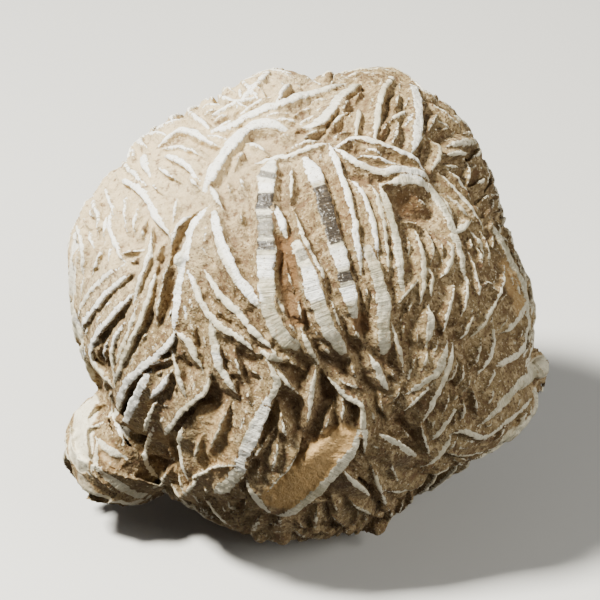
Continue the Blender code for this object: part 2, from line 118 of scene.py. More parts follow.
# Roughness of the surface: seed, spacing and size of each noise; then where it is less, and fine pits
ROUGHNESS = [(1, 2.6, 0.2), (2, 1.1, 0.14), (3, 0.6, 0.1)]
FACE_SMOOTHING = 0.65
PLATE_ROUGHNESS = 0.35  # what the blades have of it on the crests
SANDY_ROUGHNESS = 0.4  # and how much more deeper down
PITTING = 0.085
PIT_SPACING = 0.42
LATTICE_START = -41.0
LATTICE_SIZE = 86
GRAIN = 0.04

# Where rims are bare gypsum. Each pair is where that ends and where it is whole: past the rim's edge,
# under its crest and ahead of its end
RIM_EDGE = (0.32, -0.3)
RIM_FOOT = (0.65, 0.3)
RIM_END = (1.2, 0.4)
DUSTY = (0.25, 0.9)  # between these widths a rim loses its sand
MOST_DUST = 0.62  # what is left of the narrowest rims
RIM_FADE_HEIGHTS = (-30.5, -33.5)  # between these heights on the layout plane the rims turn less white towards the bottom
# how much less white the rims are below those heights
RIM_FADE_AT_FOOT = 0.6

OUTLINE = [
    (-34.7, 2), (-35, 10), (-33.5, 13.3), (-30.4, 17.6), (-27.8, 20), (-25, 23.9), (-20, 27.4), (-15, 29.8),
    (-10, 33), (-4.5, 35.2), (1.3, 33.8), (5, 34), (11.4, 35.4), (15, 34.7), (18.8, 32), (23, 29),
    (26.5, 24.8), (29, 19.5), (30.2, 15), (32.5, 7.5), (35.4, 0.5), (35.6, -4), (35, -8), (35.2, -13),
    (34.8, -18), (31.5, -21.4), (25, -25), (19.6, -28.6), (14.7, -32.3), (11, -35), (5, -35.6),
    (-2.4, -36.6), (-8, -35.4), (-13.3, -33.2), (-18, -30.6), (-22, -27), (-25, -22), (-28, -17),
    (-31.5, -12), (-33.8, -6), (-35, -1),
]
# Swellings and dips of the showy side: u, v, spread, height
SWELLINGS = [
    (4, 6, 12, 1.8), (-23, 0, 7, 0.8), (-19, 20, 6, 0.8), (15, 28, 5, 1.0), (27, -1, 7, 0.8),
    (-4, -26, 8, 1.6), (22, -20, 6, 1.0), (-5, 25, 4, -2.0), (20, 15, 3.5, -1.2), (4, -13, 5, -1.6),
    (-21, -23, 3, -2.0),
]
# Ellipsoids that stand out of the ball: middle and radii
LOBES = [
    ((-27.4, -22.8, -2), (8.4, 8.6, 9.5)), ((34.6, -10.2, 0), (2.8, 1.9, 3.4)),
]

# Hollows where the blades leave a deep gap: u, v, radius, depth
HOLLOWS = [
    (5.2, -9.2, 2.0, 5.0), (9.2, -4.6, 1.5, 2.2), (3.6, -17.6, 2.2, 3.0), (1, -20.3, 1.6, 2.5),
    (14, -11, 1.6, 2.0), (-13, -14.2, 2.6, 2.4), (-21.6, -22, 1.8, 3.0), (-23, -27.4, 2.6, 5.0),
    (6.2, -28.2, 2.2, 4.0), (15.6, -24.6, 2.2, 4.0), (32.6, -15.2, 0.9, 2.5), (34.2, -13.2, 0.8, 1.6),
    (30.6, -17.6, 0.9, 2.4), (28.4, -19.2, 1.0, 2.2), (20, -13.6, 1.5, 2.5), (17, 14.6, 2.8, 1.6),
    (-2.3, 8.6, 0.9, 0.8), (-1.4, 2.0, 1.1, 0.8), (11.5, -24.5, 1.5, 2.0), (-32.0, -26.8, 0.6, 1.2),
    (-29.4, -24.9, 0.7, 1.8), (-27.5, -26.5, 0.8, 2.4), (-29.8, -28.0, 0.5, 1.2), (-27.4, -29.2, 0.5, 1.4),
    (-25.4, -25.2, 1.3, 3.0), (-25.2, -22, 1.2, 2.5), (3.6, -29.2, 1.3, 3.0), (8.2, -25.4, 1.2, 2.5),
    (0.5, -34, 1.6, 3.0), (9.5, -33.6, 1.4, 2.6),
]

# Broad faces of petals: from and to on the layout plane, radius, depth under the crests, how smooth they
# are, and how bare of sand
FACES = [
    ((6.2, -21.8), (-2.6, -29.9), 2.5, 0.5, 1.0, 0.0), ((-14.2, -18.6), (-12.2, -24.4), 3.0, 1.0, 0.3, 0.0),
    ((-20.6, -21.2), (-19.8, -26), 1.3, 1.0, 0.3, 0.0), ((34.6, -10.5), (36.8, -10.0), 1.3, 0.6, 1.0, 0.9),
    ((35.6, -14.4), (34.6, -18.2), 0.9, 0.4, 0.8, 0.7), ((34.4, -18.6), (30.6, -21.2), 0.7, 0.4, 0.8, 0.7),
    ((-32.2, -16.2), (-33.2, -23.4), 2.1, 0.45, 1.0, 0.85),
    ((-29.4, -22.6), (-27.6, -24.2), 0.8, 0.5, 1.0, 0.3), ((-33, -27), (-24.5, -30.6), 0.9, 0.4, 1.0, 0.5),
    ((31.6, 4.6), (33.4, -1.6), 1.4, 1.0, 0.5, 0.0), ((-34.4, 9), (-34.5, 0), 1.8, 0.6, 0.8, 0.7),
    ((-34.5, 0), (-32.8, -11.5), 1.6, 0.6, 0.8, 0.7),
]

# Round tips of petals, and lumps that fill a gap: place on the layout plane and radius
KNOBS = [
    (-5.9, -35.3, 1.5), (-2.8, -35.5, 1.5), (2.2, -34.6, 1.0), (4.4, -35.0, 1.0), (7.4, -34.6, 1.0),
    (11.9, -34.4, 1.2), (-26.9, -17.8, 1.5), (36.0, -10.2, 1.6), (29.7, 15.8, 0.7), (4.4, 34.2, 0.8),
    (13.1, -31.2, 0.9), (-17.9, 6.1, 1.1),
]
KNOB_SUNK = 0.45



def crest_lines(table):
    """Each row's width, lean and points."""
    found = []
    for row in table.split("\n")[1:-1]:
        width, lean, *points = row.split()
        found.append((float(width), float(lean), [tuple(map(float, point.split(","))) for point in points]))
    return found


# Crest lines: width of the rim, lean in degrees, then points on the layout plane. A blade with a negative
# lean shows its broad face to the left of a line that runs down.
DOME = """
1.5 -8 -12.9,12.8 -12.6,11 -11.9,8.5 -10,4.2 -7.8,1.2 -6.6,-0.5
2.4 -4 -4.5,21 -5.2,16 -5.1,7 -5.2,4 -4.5,-2 -2.3,-5.7 -0.9,-7
1.2 -6 -3.5,13.8 -2.9,12 -2.3,10.3
0.5 0 -1.3,20.1 -1.4,15.4
0.6 -6 -0.7,13 1.2,8 3.2,4.5 3.7,2.5
2.4 -8 -0.4,8.3 1.3,4.8 2.5,0.4 4.2,-3.8 6.3,-7.7
2.0 -8 1,21.6 2.9,17.3 5,10 6.2,6 7.4,1.2 8.3,-2.2
0.9 -10 4.3,23.9 6.5,18.1 8.2,12.5 8.5,9.5 9.3,4.6
0.8 -10 8.2,18.2 9.8,15.5 11.1,11.5 11.9,6.8
2.0 -6 10.5,7.5 11.9,3 12.7,-1.2 12.7,-5 12.9,-7.7
0.6 -8 11,17.7 12.2,13.7 13,8.9 13.5,4.2
1.3 -6 12.4,17.2 13.9,11.7 14.8,8.5 15,6 15.6,2
0.8 0 -6.3,21.2 -1.6,21.9 0.8,22.9 4.2,24
0.7 0 5.1,23.1 8.4,24.5 12.7,23.4 16.7,21.7 19,19.6
0.5 0 8.6,22 11,21.5 14.8,20.5
1.0 0 5.5,22.9 8.6,20.8 12.2,19.3 14.6,19.7 17.8,19.3 19.7,18.2
1.4 -10 13.1,17.7 16.7,18.2 19.4,17 21.2,14.6 22.7,11.4 23.8,8.4 25.2,3.6
0.3 0 16.4,11.9 18.2,11.6
0.9 -8 17.9,10.1 18.6,6.3 18.7,2.3 18.5,0
0.6 -8 19.5,4.9 20,3.4 19.9,1.6 20.2,0.2
1.5 -10 19.7,-1.5 19.7,-3.6 19.4,-6.7
0.5 -8 19.3,-7.9 18.7,-10.2
0.5 -8 18.1,3 16.9,2 15.9,0.8 15,-0.6
0.6 -8 14,-3.8 15,-7.4 15.8,-10.7
"""
MIDDLE = """
0.9 -12 -14.3,4.3 -12,0.7 -9.3,-2 -6.8,-5 -4.2,-7.5
0.9 -12 -16.7,4 -15.1,0.2 -13,-3.2 -9.5,-5.5 -7,-7.7
1.2 -16 -13.6,-3 -13,-6.3 -12,-10.3 -10.1,-13.6
1.4 0 -5.3,-8.3 -3.5,-9
1.0 -16 -4.8,-9.5 -3.5,-12 -4.1,-14.4 -5,-16
2.0 -20 -4.4,-14.6 -6.3,-18.5 -8.5,-23.7 -10.1,-27.1 -12.8,-29.2
0.5 -10 -3.5,-10.5 -1.2,-13.3 -0.4,-14
0.8 -10 0.3,-5 1.2,-6.8 2.7,-9.6
0.7 0 2.4,-10.5 1.7,-14.8 1.2,-18.7
1.1 -10 10.8,-8.8 12.4,-12 13.2,-13.5
0.4 0 7.8,-9.8 8.4,-12
0.5 0 6.2,-12.2 9,-13.5
0.8 14 4.4,-12 6.9,-14.5 9.2,-16 9.6,-19.3 9.9,-23
0.5 0 6.5,-15.2 6.5,-18.4
"""
LEFT = """
1.2 24 -14.3,14 -16.3,11.1 -17.2,7.5 -18.4,2.3 -18.6,0 -19.1,-4.6
1.1 -24 -18.9,-5 -20.7,-7.7 -24.3,-10.7 -26.5,-13.2 -27.8,-18.1
1.0 -12 -18.7,-4.8 -16.7,-6.7 -15.2,-10
0.7 -10 -19.4,-8.6 -18.1,-12.2 -17.2,-15.2
2.0 10 -17.6,6.9 -18.2,5.2
0.7 -20 -22.6,9.8 -22.6,7.7 -23.9,3.4 -25.2,-0.1
0.6 -20 -24.6,-0.5 -26.2,-5.7 -27.9,-9.6
0.8 -20 -22,3.9 -23.3,-1.2 -25.7,-6.7 -27.8,-12
0.4 -10 -20.1,5.4 -21,1.3 -21.9,-4
0.5 -10 -18.4,11.8 -19.6,8
0.6 10 -19.3,10.3 -16.9,12.7
0.5 0 -32,10.5 -31.2,7.5
0.8 0 -28.4,13.6 -28.9,11.7 -28.3,9.5 -26.9,6.1
0.4 0 -27,7 -25.5,7.4 -23.5,7.6
0.5 -14 -30,7.8 -30.7,5.8 -31.5,3.5
0.7 -26 -27.1,5.1 -30.7,2.3 -32.9,-0.8 -33.6,-2.6
0.9 -30 -26,3.7 -29.3,0.8 -32.4,-3.2 -33,-4.8
0.9 -30 -25.3,0.9 -28.1,-2.2 -30.9,-5.7 -31.4,-9.1 -28.4,-13.1
0.7 -14 -26.8,-3.6 -28.3,-7 -28.1,-10.8 -28,-13
1.3 20 -22.9,-11 -24.3,-13.8 -26.2,-18.1 -25.8,-20.7
1.0 -14 -19.7,-11.2 -20.7,-12.8 -22.7,-14.9
0.3 0 -22.5,-9.8 -19.9,-9
0.8 -24 -13.7,-11.7 -14.4,-13.9 -17.7,-16.7 -20.6,-20.7
0.8 14 -22.1,-15.7 -23.6,-20
0.7 26 -22,-19 -23.2,-22.4 -23.2,-24.2 -20.8,-27.6
0.9 22 -18,-19.2 -18.2,-22.4 -17.5,-25.7 -16.9,-27.5
0.5 -10 -11.4,-17.4 -12.9,-20.9 -13.7,-22.6
0.6 10 -20.3,-26 -20.8,-27.5 -20,-29.8
0.7 20 -15.5,-27 -16.5,-28.2 -18.3,-30
0.5 30 -9.8,-24.8 -13,-25.2 -16.8,-27
0.6 -10 -33.8,11.5 -33,8 -33.2,4
0.6 -10 -31.5,15.3 -30.5,12.5 -30.8,10.5
"""
ROSETTE = """
0.9 20 -34.2,-26.9 -32.8,-28.2 -29,-29.8 -23.6,-31.1
1.2 -10 -30.7,-20.6 -29,-22.2 -26.4,-23.6
0.7 0 -30.7,-21 -30.6,-23.6 -30.9,-25.4
1.3 16 -30.8,-24.6 -28.3,-27 -25.3,-28.9 -21.6,-30
0.7 -10 -28.4,-16 -26.9,-20.2 -26.4,-22.1
0.5 0 -33.3,-23.8 -31,-26.6
0.7 20 -32.5,-14.8 -35,-19 -35.2,-22 -34.6,-25
"""
FRONT_FOOT = """
1.6 -16 8.8,-20.4 8,-22.6 5.3,-26.1 2,-29.6 -1.6,-32.2 -3.2,-32.8
0.5 -20 -0.1,-23.3 -2.1,-25.9 -4.8,-28.7
1.0 30 -8.5,-27.1 -6.3,-30.2 -4.4,-32.5
0.5 -10 -3.2,-21.4 -4.1,-25.7
0.4 0 -2.7,-17.7 -2.1,-20.9
0.4 0 4.6,-17.4 3.7,-19.5
0.3 0 -8.3,-13.3 -7.3,-16
0.3 0 -4.8,-20.8 -6.8,-23.5 -8,-24.6
0.8 -20 6.7,-26.1 10.6,-29.5
0.6 10 10.9,-25.4 13.1,-31.1
1.0 -40 12.2,-20.3 14.7,-21.6 17.7,-23.7
0.6 30 12.8,-28.8 16.7,-28.7 19,-27.6
0.4 0 13.8,-24.9 14.8,-27.3
0.4 10 5.1,-30.9 5.8,-32.1
0.6 20 4.8,-32.7 7.2,-34.7
0.5 10 7.9,-30.8 11,-32.5
0.7 10 13.8,-31.8 13.4,-33.5 12.2,-34.9
0.5 10 17.1,-29.9 16.6,-30.9
1.2 20 -6.3,-33.2 -7,-34.6 -6.4,-35.8
1.2 20 -3,-33 -3.4,-34.6 -2.8,-35.9
0.7 10 2.6,-32.5 2.2,-34.6
"""
RIGHT = """
1.2 -24 22.4,-6.4 21.4,-9.5 20.2,-11.4 16.7,-14
0.9 -18 23.3,-6.7 22.4,-10.5 20.5,-14.8 18.6,-18.5
0.6 -20 19.7,-13.1 15.5,-16.9
0.8 -4 22.3,9.2 23,7.5 22.4,4.6 21.8,3.7
0.7 -4 23.5,2.1 22.4,-1.7 21.8,-5.1
0.6 -4 25.6,3.7 25,-0.5 24.7,-2
0.6 -4 26.3,-2 24.9,-5.3 24.3,-6.2
0.6 -4 31.1,5.1 30.4,1.6 28.3,-2.7 26.1,-5.8
0.4 0 27.1,1.6 28.3,2.7 29.9,1.4
0.5 -4 25.6,7.2 26.9,2.7 27.1,0
0.4 0 29,10.1 29.3,8
1.9 0 29.6,11 30.6,8.4 31.9,5.8 33.8,1.8 34.4,-2.9 34.1,-6
1.2 -12 34.5,-4.6 33.5,-7.4 31.8,-8.9 29.8,-9.9
1.1 -24 34.4,0 32.7,-3.2 30.9,-5.1
0.7 -4 29.5,-4.1 29,-7.9 26.9,-11.7
0.6 -4 27.5,-6.4 26.6,-10
0.6 -4 29.7,-10.2 28.2,-13.6
0.4 0 24.7,-9.3 24.4,-12.6
1.8 -6 36.6,-10.0 35.3,-10.9 33.7,-12.9
2.0 -12 35.9,-13.8 35.6,-16.2 33.2,-19.7 30.1,-21.6
1.5 -30 34.6,-11.2 33,-12.6 31.4,-14.4 29.2,-17 27.4,-18.8
1.0 -20 34.8,-15 33.2,-16.6 31,-18.5 28.6,-20.3 27.2,-20.6 24.5,-19.9 23.1,-20.4
1.0 -24 23.1,-20.4 21.2,-23.3 18.5,-25.4
0.9 -20 23.8,-16.4 21.1,-19.8 20,-21.4
0.6 -4 25,-15.9 24.5,-18.3
0.4 0 26.4,-14.1 26.9,-17.3
0.5 0 18.3,-19.2 19.6,-23.7
0.5 30 22.4,-23.5 26.6,-23.1 30.2,-21.8
0.7 20 19.7,-26.6 22.4,-25.6
"""
UPPER_RIGHT = """
1.5 -10 17.1,32.8 17.9,29 17.7,24.6 17.1,22.4
0.9 -10 14.1,34 12.4,31.2 11.6,26.9 11.4,24.3
0.7 -6 8.9,29 8.4,24.6
0.4 0 15.1,31.6 14.4,29.1
0.6 0 16,28.6 13.8,27.3
0.5 0 15,26.9 13.9,23.4
0.4 0 20.9,28.3 19.2,25.3
0.8 -10 20.2,24.2 21.2,22.6 20.5,20
0.8 -10 11,35.3 15,34.5 18.8,31.8
0.5 -10 20.2,29.8 24.4,26
1.0 10 22.8,23.4 26.3,23.9 27.3,23.1
0.7 10 22.1,22 25.6,22.2
0.4 0 21.9,20.1 24.2,20.1
0.5 0 25.6,20.8 25.5,17.2
0.6 -10 28,21.2 28.7,17.4
1.0 0 29.6,15.9 29.9,15.5
0.7 -10 21.8,18.6 24.9,14.9 27.8,11.1
0.5 -10 22.4,19.8 25.9,15.6
0.6 -10 22.1,16 25.6,12.5
0.6 -10 21.2,16 23.5,11.7
0.9 10 23.1,10.1 24.9,11.1 25.9,12
"""
TOP = """
1.6 -6 -2.8,26.2 -5.6,26.8 -8.1,25.7 -10.4,23.4 -12.2,21 -14.3,17.4
1.3 -6 6,32.8 3.7,31.8 0.5,31 -2.6,29.8 -5,29 -8.1,27.6 -10.4,26.4 -13,25.8
1.7 -20 8.9,32.9 6.4,31 4.1,28.1 2.2,26.5 0.5,26.3
1.0 -10 -4.4,35.1 -6.6,32.6 -9.4,29.7
0.7 -10 -1.6,32.9 -3.4,30.5
0.7 -10 -7.6,30.6 -10.6,29.4 -13.6,27.9
1.2 0 4.2,34.3 4.6,34.1
0.5 0 -7.7,23.9 -5.1,22.7
0.4 0 1.8,30.1 4.2,30.5
0.4 0 2.2,28.6 4.3,29.4
1.0 14 -21.2,23.8 -17.7,25.8 -14.4,24.3 -13,23.8
0.6 10 -20.7,23.1 -16.9,22.9 -15.3,22.1
0.9 14 -20.7,22 -17.9,20.8 -15.6,18.6
0.6 10 -21.5,20.1 -19.1,18.4
0.5 0 -16.7,18.4 -15.5,17.2
1.0 10 -27.1,18.2 -24.1,16.5 -21.9,13 -20,9.9
1.2 0 -23.9,22 -23.1,19.3
0.5 0 -26.4,16 -26.5,10.8
0.5 0 -24.8,14.1 -25.3,10.1
0.5 0 -18.8,15.5 -19.3,11.8
0.7 -10 -13.6,17.2 -12,14.4
0.7 0 -21.9,26 -18.1,27.6
0.8 0 -11.1,17.8 -10.9,17.2
0.4 0 -9.1,18.6 -8.4,16.8
0.7 0 -27,21 -23.5,17.5
0.6 0 -29.5,17.2 -28.2,13
0.7 0 -17,28.6 -13.5,26
0.7 0 -12.5,31 -8.5,29.5
0.7 0 -9,33.3 -6.5,30.8
"""
REGIONS = (DOME, MIDDLE, LEFT, ROSETTE, FRONT_FOOT, RIGHT, UPPER_RIGHT, TOP)
CRESTS = [crest for region in REGIONS for crest in crest_lines(region)]

# Growth of the far side. Each centre sends its blades out along its spokes, turned by some degrees; then
# how far it is felt, and how its blades lean.
CENTRES = [
    ((9, 7, -30), 22, 13, 16), ((-16, 17, -22), -38, 11, -22), ((-19, -10, -24), 68, 9, 26),
    ((13, -18, -21), -24, 11, -16), ((27, 10, -15), 48, 10, 20), ((4, 28, -18), -18, 11, 14),
    ((-32, 6, -8), 80, 9, -20), ((30, -9, -10), 62, 9, 24), ((2, -31, -8), 12, 11, -12),
    ((-4, -13, -30), 86, 8, 28), ((22, 26, -4), -30, 9, 18), ((-12, 30, -6), 35, 9, -14),
    ((-29, -24, -6), 30, 6, 16), ((18, -4, -27), 75, 8, -24),
]
GROWTH_SEED = 8
GROWTH_STEP = 0.6
MOST_CURL = 2.2  # degrees at each step
HORIZON = 14.0  # the far side starts at this height of w
STRAIGHT_ENOUGH = math.cos(math.radians(36))  # a line turns no further than this from its middle
# Passes of growth: lines tried, shortest and longest, gap to the others, turn off the field in degrees
PASSES = [
    (500, 9.0, 26.0, 2.5, 10), (1500, 3.5, 13.0, 1.4, 18), (1200, 1.8, 4.5, 0.8, 60),
]

# Small blades in the gaps of the showy side: how many are tried, shortest and longest, gap to the others
FILLING = (2600, 1.6, 5.5, 1.2)
NEIGHBOURS = 14  # stations that a small blade takes its way from
MOST_SWERVE = 16  # and how many degrees it turns off it
LINE_ROOM = 0.8  # the share of the gap that it keeps along its length
# Where those gaps stay wider: u, v, spread, how much wider
BARE = [
    (-11, 15, 6, 3.0), (-9, 7, 5, 3.0), (-2, 16, 5, 2.5), (4, -22.5, 4, 3.0), (-2, -30, 3, 3.0),
    (12, -1, 5, 1.2), (-17, 17, 6, 1.5), (-1.8, 5, 4, 3.0), (26, 1, 8, 0.1), (13, -4, 5, 0.8),
    (1, 9, 9, 1.8), (0, -25.5, 5, 3.0), (17, 13.5, 3, 2.0), (-24, 20, 8, 0.8), (-31, -21, 6, 2.0),
    (7, 16, 6, 0.8), (-14, -20, 7, 1.6), (-3, -15, 8, 1.0), (8, -12, 7, 0.9), (12, -25, 6, 0.9),
    (17, 3, 6, 0.8), (34, -12, 5, 2.0), (-24, -26, 4, 2.0),
]

CHALK_AND_HIGHLIGHT_WAY = np.array([-0.62, 0.7, 0.36])  # the shoulder facing the key light: chalkier sand there, and a painted highlight
CHALK_AND_HIGHLIGHT_REACH = (0.55, 0.97)
# Glassy stretches of the rims: from and to on the layout plane, radius, strength
CLEAR = [
    ((-4.8, 19.4), (-5.1, 18.2), 1.5, 0.7), ((-5.2, 16.1), (-5.2, 13.6), 1.7, 1.0),
    ((-5.2, 13), (-5.2, 9.2), 1.7, 0.62), ((-5.2, 9), (-5.2, 7.4), 1.6, 0.85),
    ((2.9, 17.2), (5.8, 8.6), 1.4, 1.0), ((6.6, 4.4), (7.0, 2.6), 1.3, 0.9), ((0.2, 8), (1.2, 6), 1.4, 0.6),
    ((-4.8, 0.6), (-3.2, -5), 1.3, 0.35), ((3.1, -1.2), (6, -7), 1.3, 0.4),
    ((12.4, 0.5), (12.9, -7.4), 1.3, 0.35), ((-13.2, -5.5), (-10.4, -13), 1.0, 0.35),
    ((13, 15), (15.3, 4), 0.9, 0.3),
]
# White chalky stretches
WHITE = [
    ((-12.9, 12.8), (-6.6, -0.5), 1.3, 1.0), ((-5.2, 17.6), (-5.2, 16.4), 1.6, 1.0),
    ((-5.2, 6.6), (-5, 3.4), 1.6, 1.0), ((-3.5, 13.8), (-2.3, 10.3), 1.0, 1.0),
    ((1.2, 5), (2.5, 0), 1.6, 1.0), ((1, 21.6), (2.5, 17.8), 1.4, 1.0), ((5.8, 8), (6.5, 4.9), 1.5, 0.7),
    ((7.2, 2), (7.7, 0), 1.4, 1.0), ((4.3, 23.9), (9, 6), 0.9, 0.8), ((8.2, 18.2), (11.9, 6.8), 0.8, 0.8),
    ((-14.3, 14), (-19.1, -4.6), 1.3, 1.0), ((-18.9, -5), (-27, -15), 1.6, 0.8),
    ((-26, 3.7), (-33, -4), 1.6, 0.8), ((-25.3, 0.9), (-31.4, -9), 1.8, 0.8),
    ((-24, -12), (-26.2, -20), 1.4, 0.8), ((-20, -11), (-22.7, -15), 1.0, 0.8),
    ((5, 23.5), (19, 19.6), 1.8, 0.6), ((-12.2, -8), (-12.4, -9), 1.0, 0.8),
    ((17.1, 32.8), (17.1, 22.4), 1.4, 0.6), ((-4.2, -15), (-9.1, -25.6), 1.2, 0.6),
]
# Brown stains on the sand
STAINS = [
    ((-2.5, 9.8), (-1.4, 1), 1.4, 0.9), ((-1.4, 1), (0, -4), 1.4, 0.8), ((8.8, -2), (9.5, -5), 1.2, 0.8),
    ((14.6, 14.2), (17.9, 15), 1.8, 0.5), ((6, 18), (7, 12), 0.9, 0.4),
]
# The layout's u, v and w in the frame
SINE, COSINE = math.sin(LEAN_BACK), math.cos(LEAN_BACK)
LAYOUT_AXES = np.array([(1.0, 0.0, 0.0), (0.0, SINE, COSINE), (0.0, -COSINE, SINE)])


# The ball that the crests lie on


def to_world(points):
    return (points @ LAYOUT_AXES + (0, 0, CENTRE_HEIGHT)) / 1000


def unit(vectors):
    return vectors / np.linalg.norm(vectors, axis=-1, keepdims=True)


def smooth_step(low, high, values):
    t = np.clip((values - low) / (high - low), 0, 1)
    return t * t * (3 - 2 * t)


def outline_table():
    """The outline's smoothed radius at each degree."""
    u, v = np.array(OUTLINE, float).T
    angle = np.arctan2(v, u)
    order = np.argsort(angle)
    degrees = np.radians(np.arange(-180, 180))
    radius = np.interp(degrees, angle[order], np.hypot(u, v)[order], period=2 * math.pi)
    window = np.exp(-((np.arange(-9, 10) / 4) ** 2))
    wrapped = np.concatenate([radius[-9:], radius, radius[:9]])
    return np.convolve(wrapped, window / window.sum(), "valid") - OUTLINE_INSET


OUTLINE_RADIUS = outline_table()


def ball_radius(direction):
    angle = np.degrees(np.arctan2(direction[:, 1], direction[:, 0])) + 180
    side = np.hypot(direction[:, 0], direction[:, 1])
    toward = direction[:, 2]
    rim = np.interp(angle, np.arange(361), np.append(OUTLINE_RADIUS, OUTLINE_RADIUS[0]))
    girth = MEAN_RADIUS + (rim - MEAN_RADIUS) * side**2
    depth = np.where(toward > 0, FRONT_RADIUS, BACK_RADIUS)
    radius = 1 / np.hypot(side / girth, toward / depth)
    facing = np.clip(toward * 3, 0, 1)
    for u, v, spread, height in SWELLINGS:
        away = np.hypot(direction[:, 0] * radius - u, direction[:, 1] * radius - v)
        radius = radius + height * facing * np.exp(-((away / spread) ** 2) / 2)
    return radius


def over_crests(points):
    """How far each point is outside the ball and its lobes."""
    distance = np.linalg.norm(points, axis=1)
    level = distance - ball_radius(points / np.maximum(distance, 1e-6)[:, None])
    for middle, radii in LOBES:
        reach = np.linalg.norm((points - middle) / np.array(radii), axis=1)
        level = np.minimum(level, (reach - 1) * min(radii))
    return level


def outward_at(points):
    step = 0.5
    slopes = [over_crests(points + step * axis) - over_crests(points - step * axis) for axis in np.eye(3)]
    return unit(np.stack(slopes, axis=1))


def on_crests(line):
    """Places of the layout plane put where their line of sight meets the ball."""
    heights = np.arange(40, -16, -0.5)
    placed = []
    for u, v in line:
        scale = 1 - heights / STATION
        ray = np.stack([u * scale, v * scale, heights], axis=1)
        level = over_crests(ray)
        inside = np.flatnonzero(level <= 0)
        if len(inside) and inside[0] > 0:
            after = inside[0]
            share = level[after - 1] / (level[after - 1] - level[after])
            placed.append(ray[after - 1] + share * (ray[after] - ray[after - 1]))
        else:
            placed.append(ray[np.argmin(level)])
    return np.array(placed)


def onto_crests(points, rounds=2):
    for _ in range(rounds):
        points = points - over_crests(points)[:, None] * outward_at(points)
    return points


def spline(points, spacing):
    """A Catmull-Rom curve through the points."""
    points = np.array(points, float)
    lead = 2 * points[0] - points[1]
    tail = 2 * points[-1] - points[-2]
    knots = np.vstack([lead, points, tail])
    curve = []
    for before, start, end, after in zip(knots, knots[1:], knots[2:], knots[3:]):
        count = max(1, round(np.linalg.norm(end - start) / spacing))
        for t in np.arange(count) / count:
            curve.append(
                0.5 * (2 * start + (end - before) * t + (2 * before - 5 * start + 4 * end - after) * t**2
                       + (3 * start - before - 3 * end + after) * t**3)
            )
    curve.append(points[-1])
    return np.array(curve)


# Blades


class Blade:
    """A flat-rimmed plate: its crest line, the frame at each station, and its closed loft."""

    def __init__(self, crest, width, lean):
        outward = outward_at(crest)
        chance = random.Random(round(float(np.abs(crest).sum()) * 1000))
        along = unit(np.gradient(crest, axis=0))
        side = unit(np.cross(outward, along))
        turn = math.radians(lean)
        inward = -outward * math.cos(turn) + side * math.sin(turn)
        inward = unit(inward + PLATE_FLATNESS * inward.mean(axis=0))
        across = unit(np.cross(along, inward))
        steps = np.concatenate([[0], np.cumsum(np.linalg.norm(np.diff(crest, axis=0), axis=1))])
        from_end = np.minimum(steps, steps[-1] - steps)
        taper = min(TAPER, 0.4 * steps[-1])
        full = np.clip(from_end / taper, 0, 1)
        phase = [chance.uniform(0, 2 * math.pi) for _ in range(6)]
        sway = RAGGED * (np.sin(steps * 1.3 + phase[0]) + np.sin(steps * 2.9 + phase[1]))
        lift = RAGGED * (np.sin(steps * 0.9 + phase[2]) + np.sin(steps * 2.3 + phase[3]))
        sunk = lift + SUNK_TIP * (1 - full) ** 2
        swell = 1 + 0.12 * np.sin(steps * 1.0 + phase[4]) + 0.1 * np.sin(steps * 3.7 + phase[5])
        self.top = crest + across * sway[:, None] - outward * sunk[:, None]
        self.outward, self.inward, self.across, self.along = outward, inward, across, along
        least = np.interp(width, BLUNT_FROM, BLUNTNESS) if abs(lean) <= UPRIGHT else BLUNTNESS[0]
        self.half = width / 2 * swell * (least + (1 - least) * full**0.6)
        self.depth = (BLADE_DEPTH + LEANING_DEPTH * abs(math.sin(turn))) / BLADE_DEPTH
        middle = crest[len(crest) // 2]
        for place, radii in LOBES:
            if np.linalg.norm((middle - place) / np.array(radii)) < 1.1:
                self.depth = min(radii) / 2 / BLADE_DEPTH
        self.shingled = min(1, abs(lean) / FULL_LEAN)
        self.place = steps + chance.uniform(0, 100)
        self.width = width
        self.lean = lean

    def loft(self):
        """Points and quads of the closed blade."""
        shares = np.array([0.3, 0.65, 1.0])
        drop = END_DROP * shares[:, None] ** 1.5
        run = END_RUN * shares[:, None]
        head = self.top[0] - self.along[0] * run + self.inward[0] * drop
        tail = self.top[-1] + self.along[-1] * run + self.inward[-1] * drop
        tops = np.vstack([head[::-1], self.top, tail])
        inward, across, outward = (np.pad(rows, ((3, 3), (0, 0)), "edge") for rows in
                                   (self.inward, self.across, self.outward))
        narrow = 1 - 0.7 * shares
        half = np.concatenate([self.half[0] * narrow[::-1], self.half, self.half[-1] * narrow])
        # The rim is flush with the ball, whichever way its plate leans
        level = -half * (across * outward).sum(1) / (inward * outward).sum(1)
        right, left = [], []
        for deep, even, broad, steep in PROFILE:
            deep = deep * self.depth if deep > 1.5 or self.depth < 1 else deep
            broad = even + (broad - even) * self.shingled
            steep = even + (steep - even) * self.shingled
            wides = (broad, steep) if self.lean > 0 else (steep, broad)
            for chain, sign, wide in zip((right, left), (1, -1), wides):
                reach = np.maximum(half + wide, 0.04)
                chain.append(tops + inward * (deep + sign * level)[:, None] + sign * across * reach[:, None])
        root = tops + inward * (PROFILE[-1][0] + ROOT) * self.depth
        rings = np.stack(right + [root] + left[::-1], axis=1)
        rows, count = rings.shape[:2]
        index = np.arange(rows * count).reshape(rows, count)
        a, b = index[:-1], index[1:]
        quads = np.stack([a, np.roll(a, -1, 1), np.roll(b, -1, 1), b], axis=-1).reshape(-1, 4)
        ends = []
        for row, way in ((index[0], 1), (index[-1], -1)):
            strip = [[row[i], row[i + 1], row[-i - 2], row[-i - 1]][::way] for i in range(count // 2 - 1)]
            middle = count // 2
            ends += strip + [[row[middle - 1], row[middle], row[middle], row[middle + 1]][::way]]
        return rings.reshape(-1, 3), np.vstack([quads, np.array(ends)])


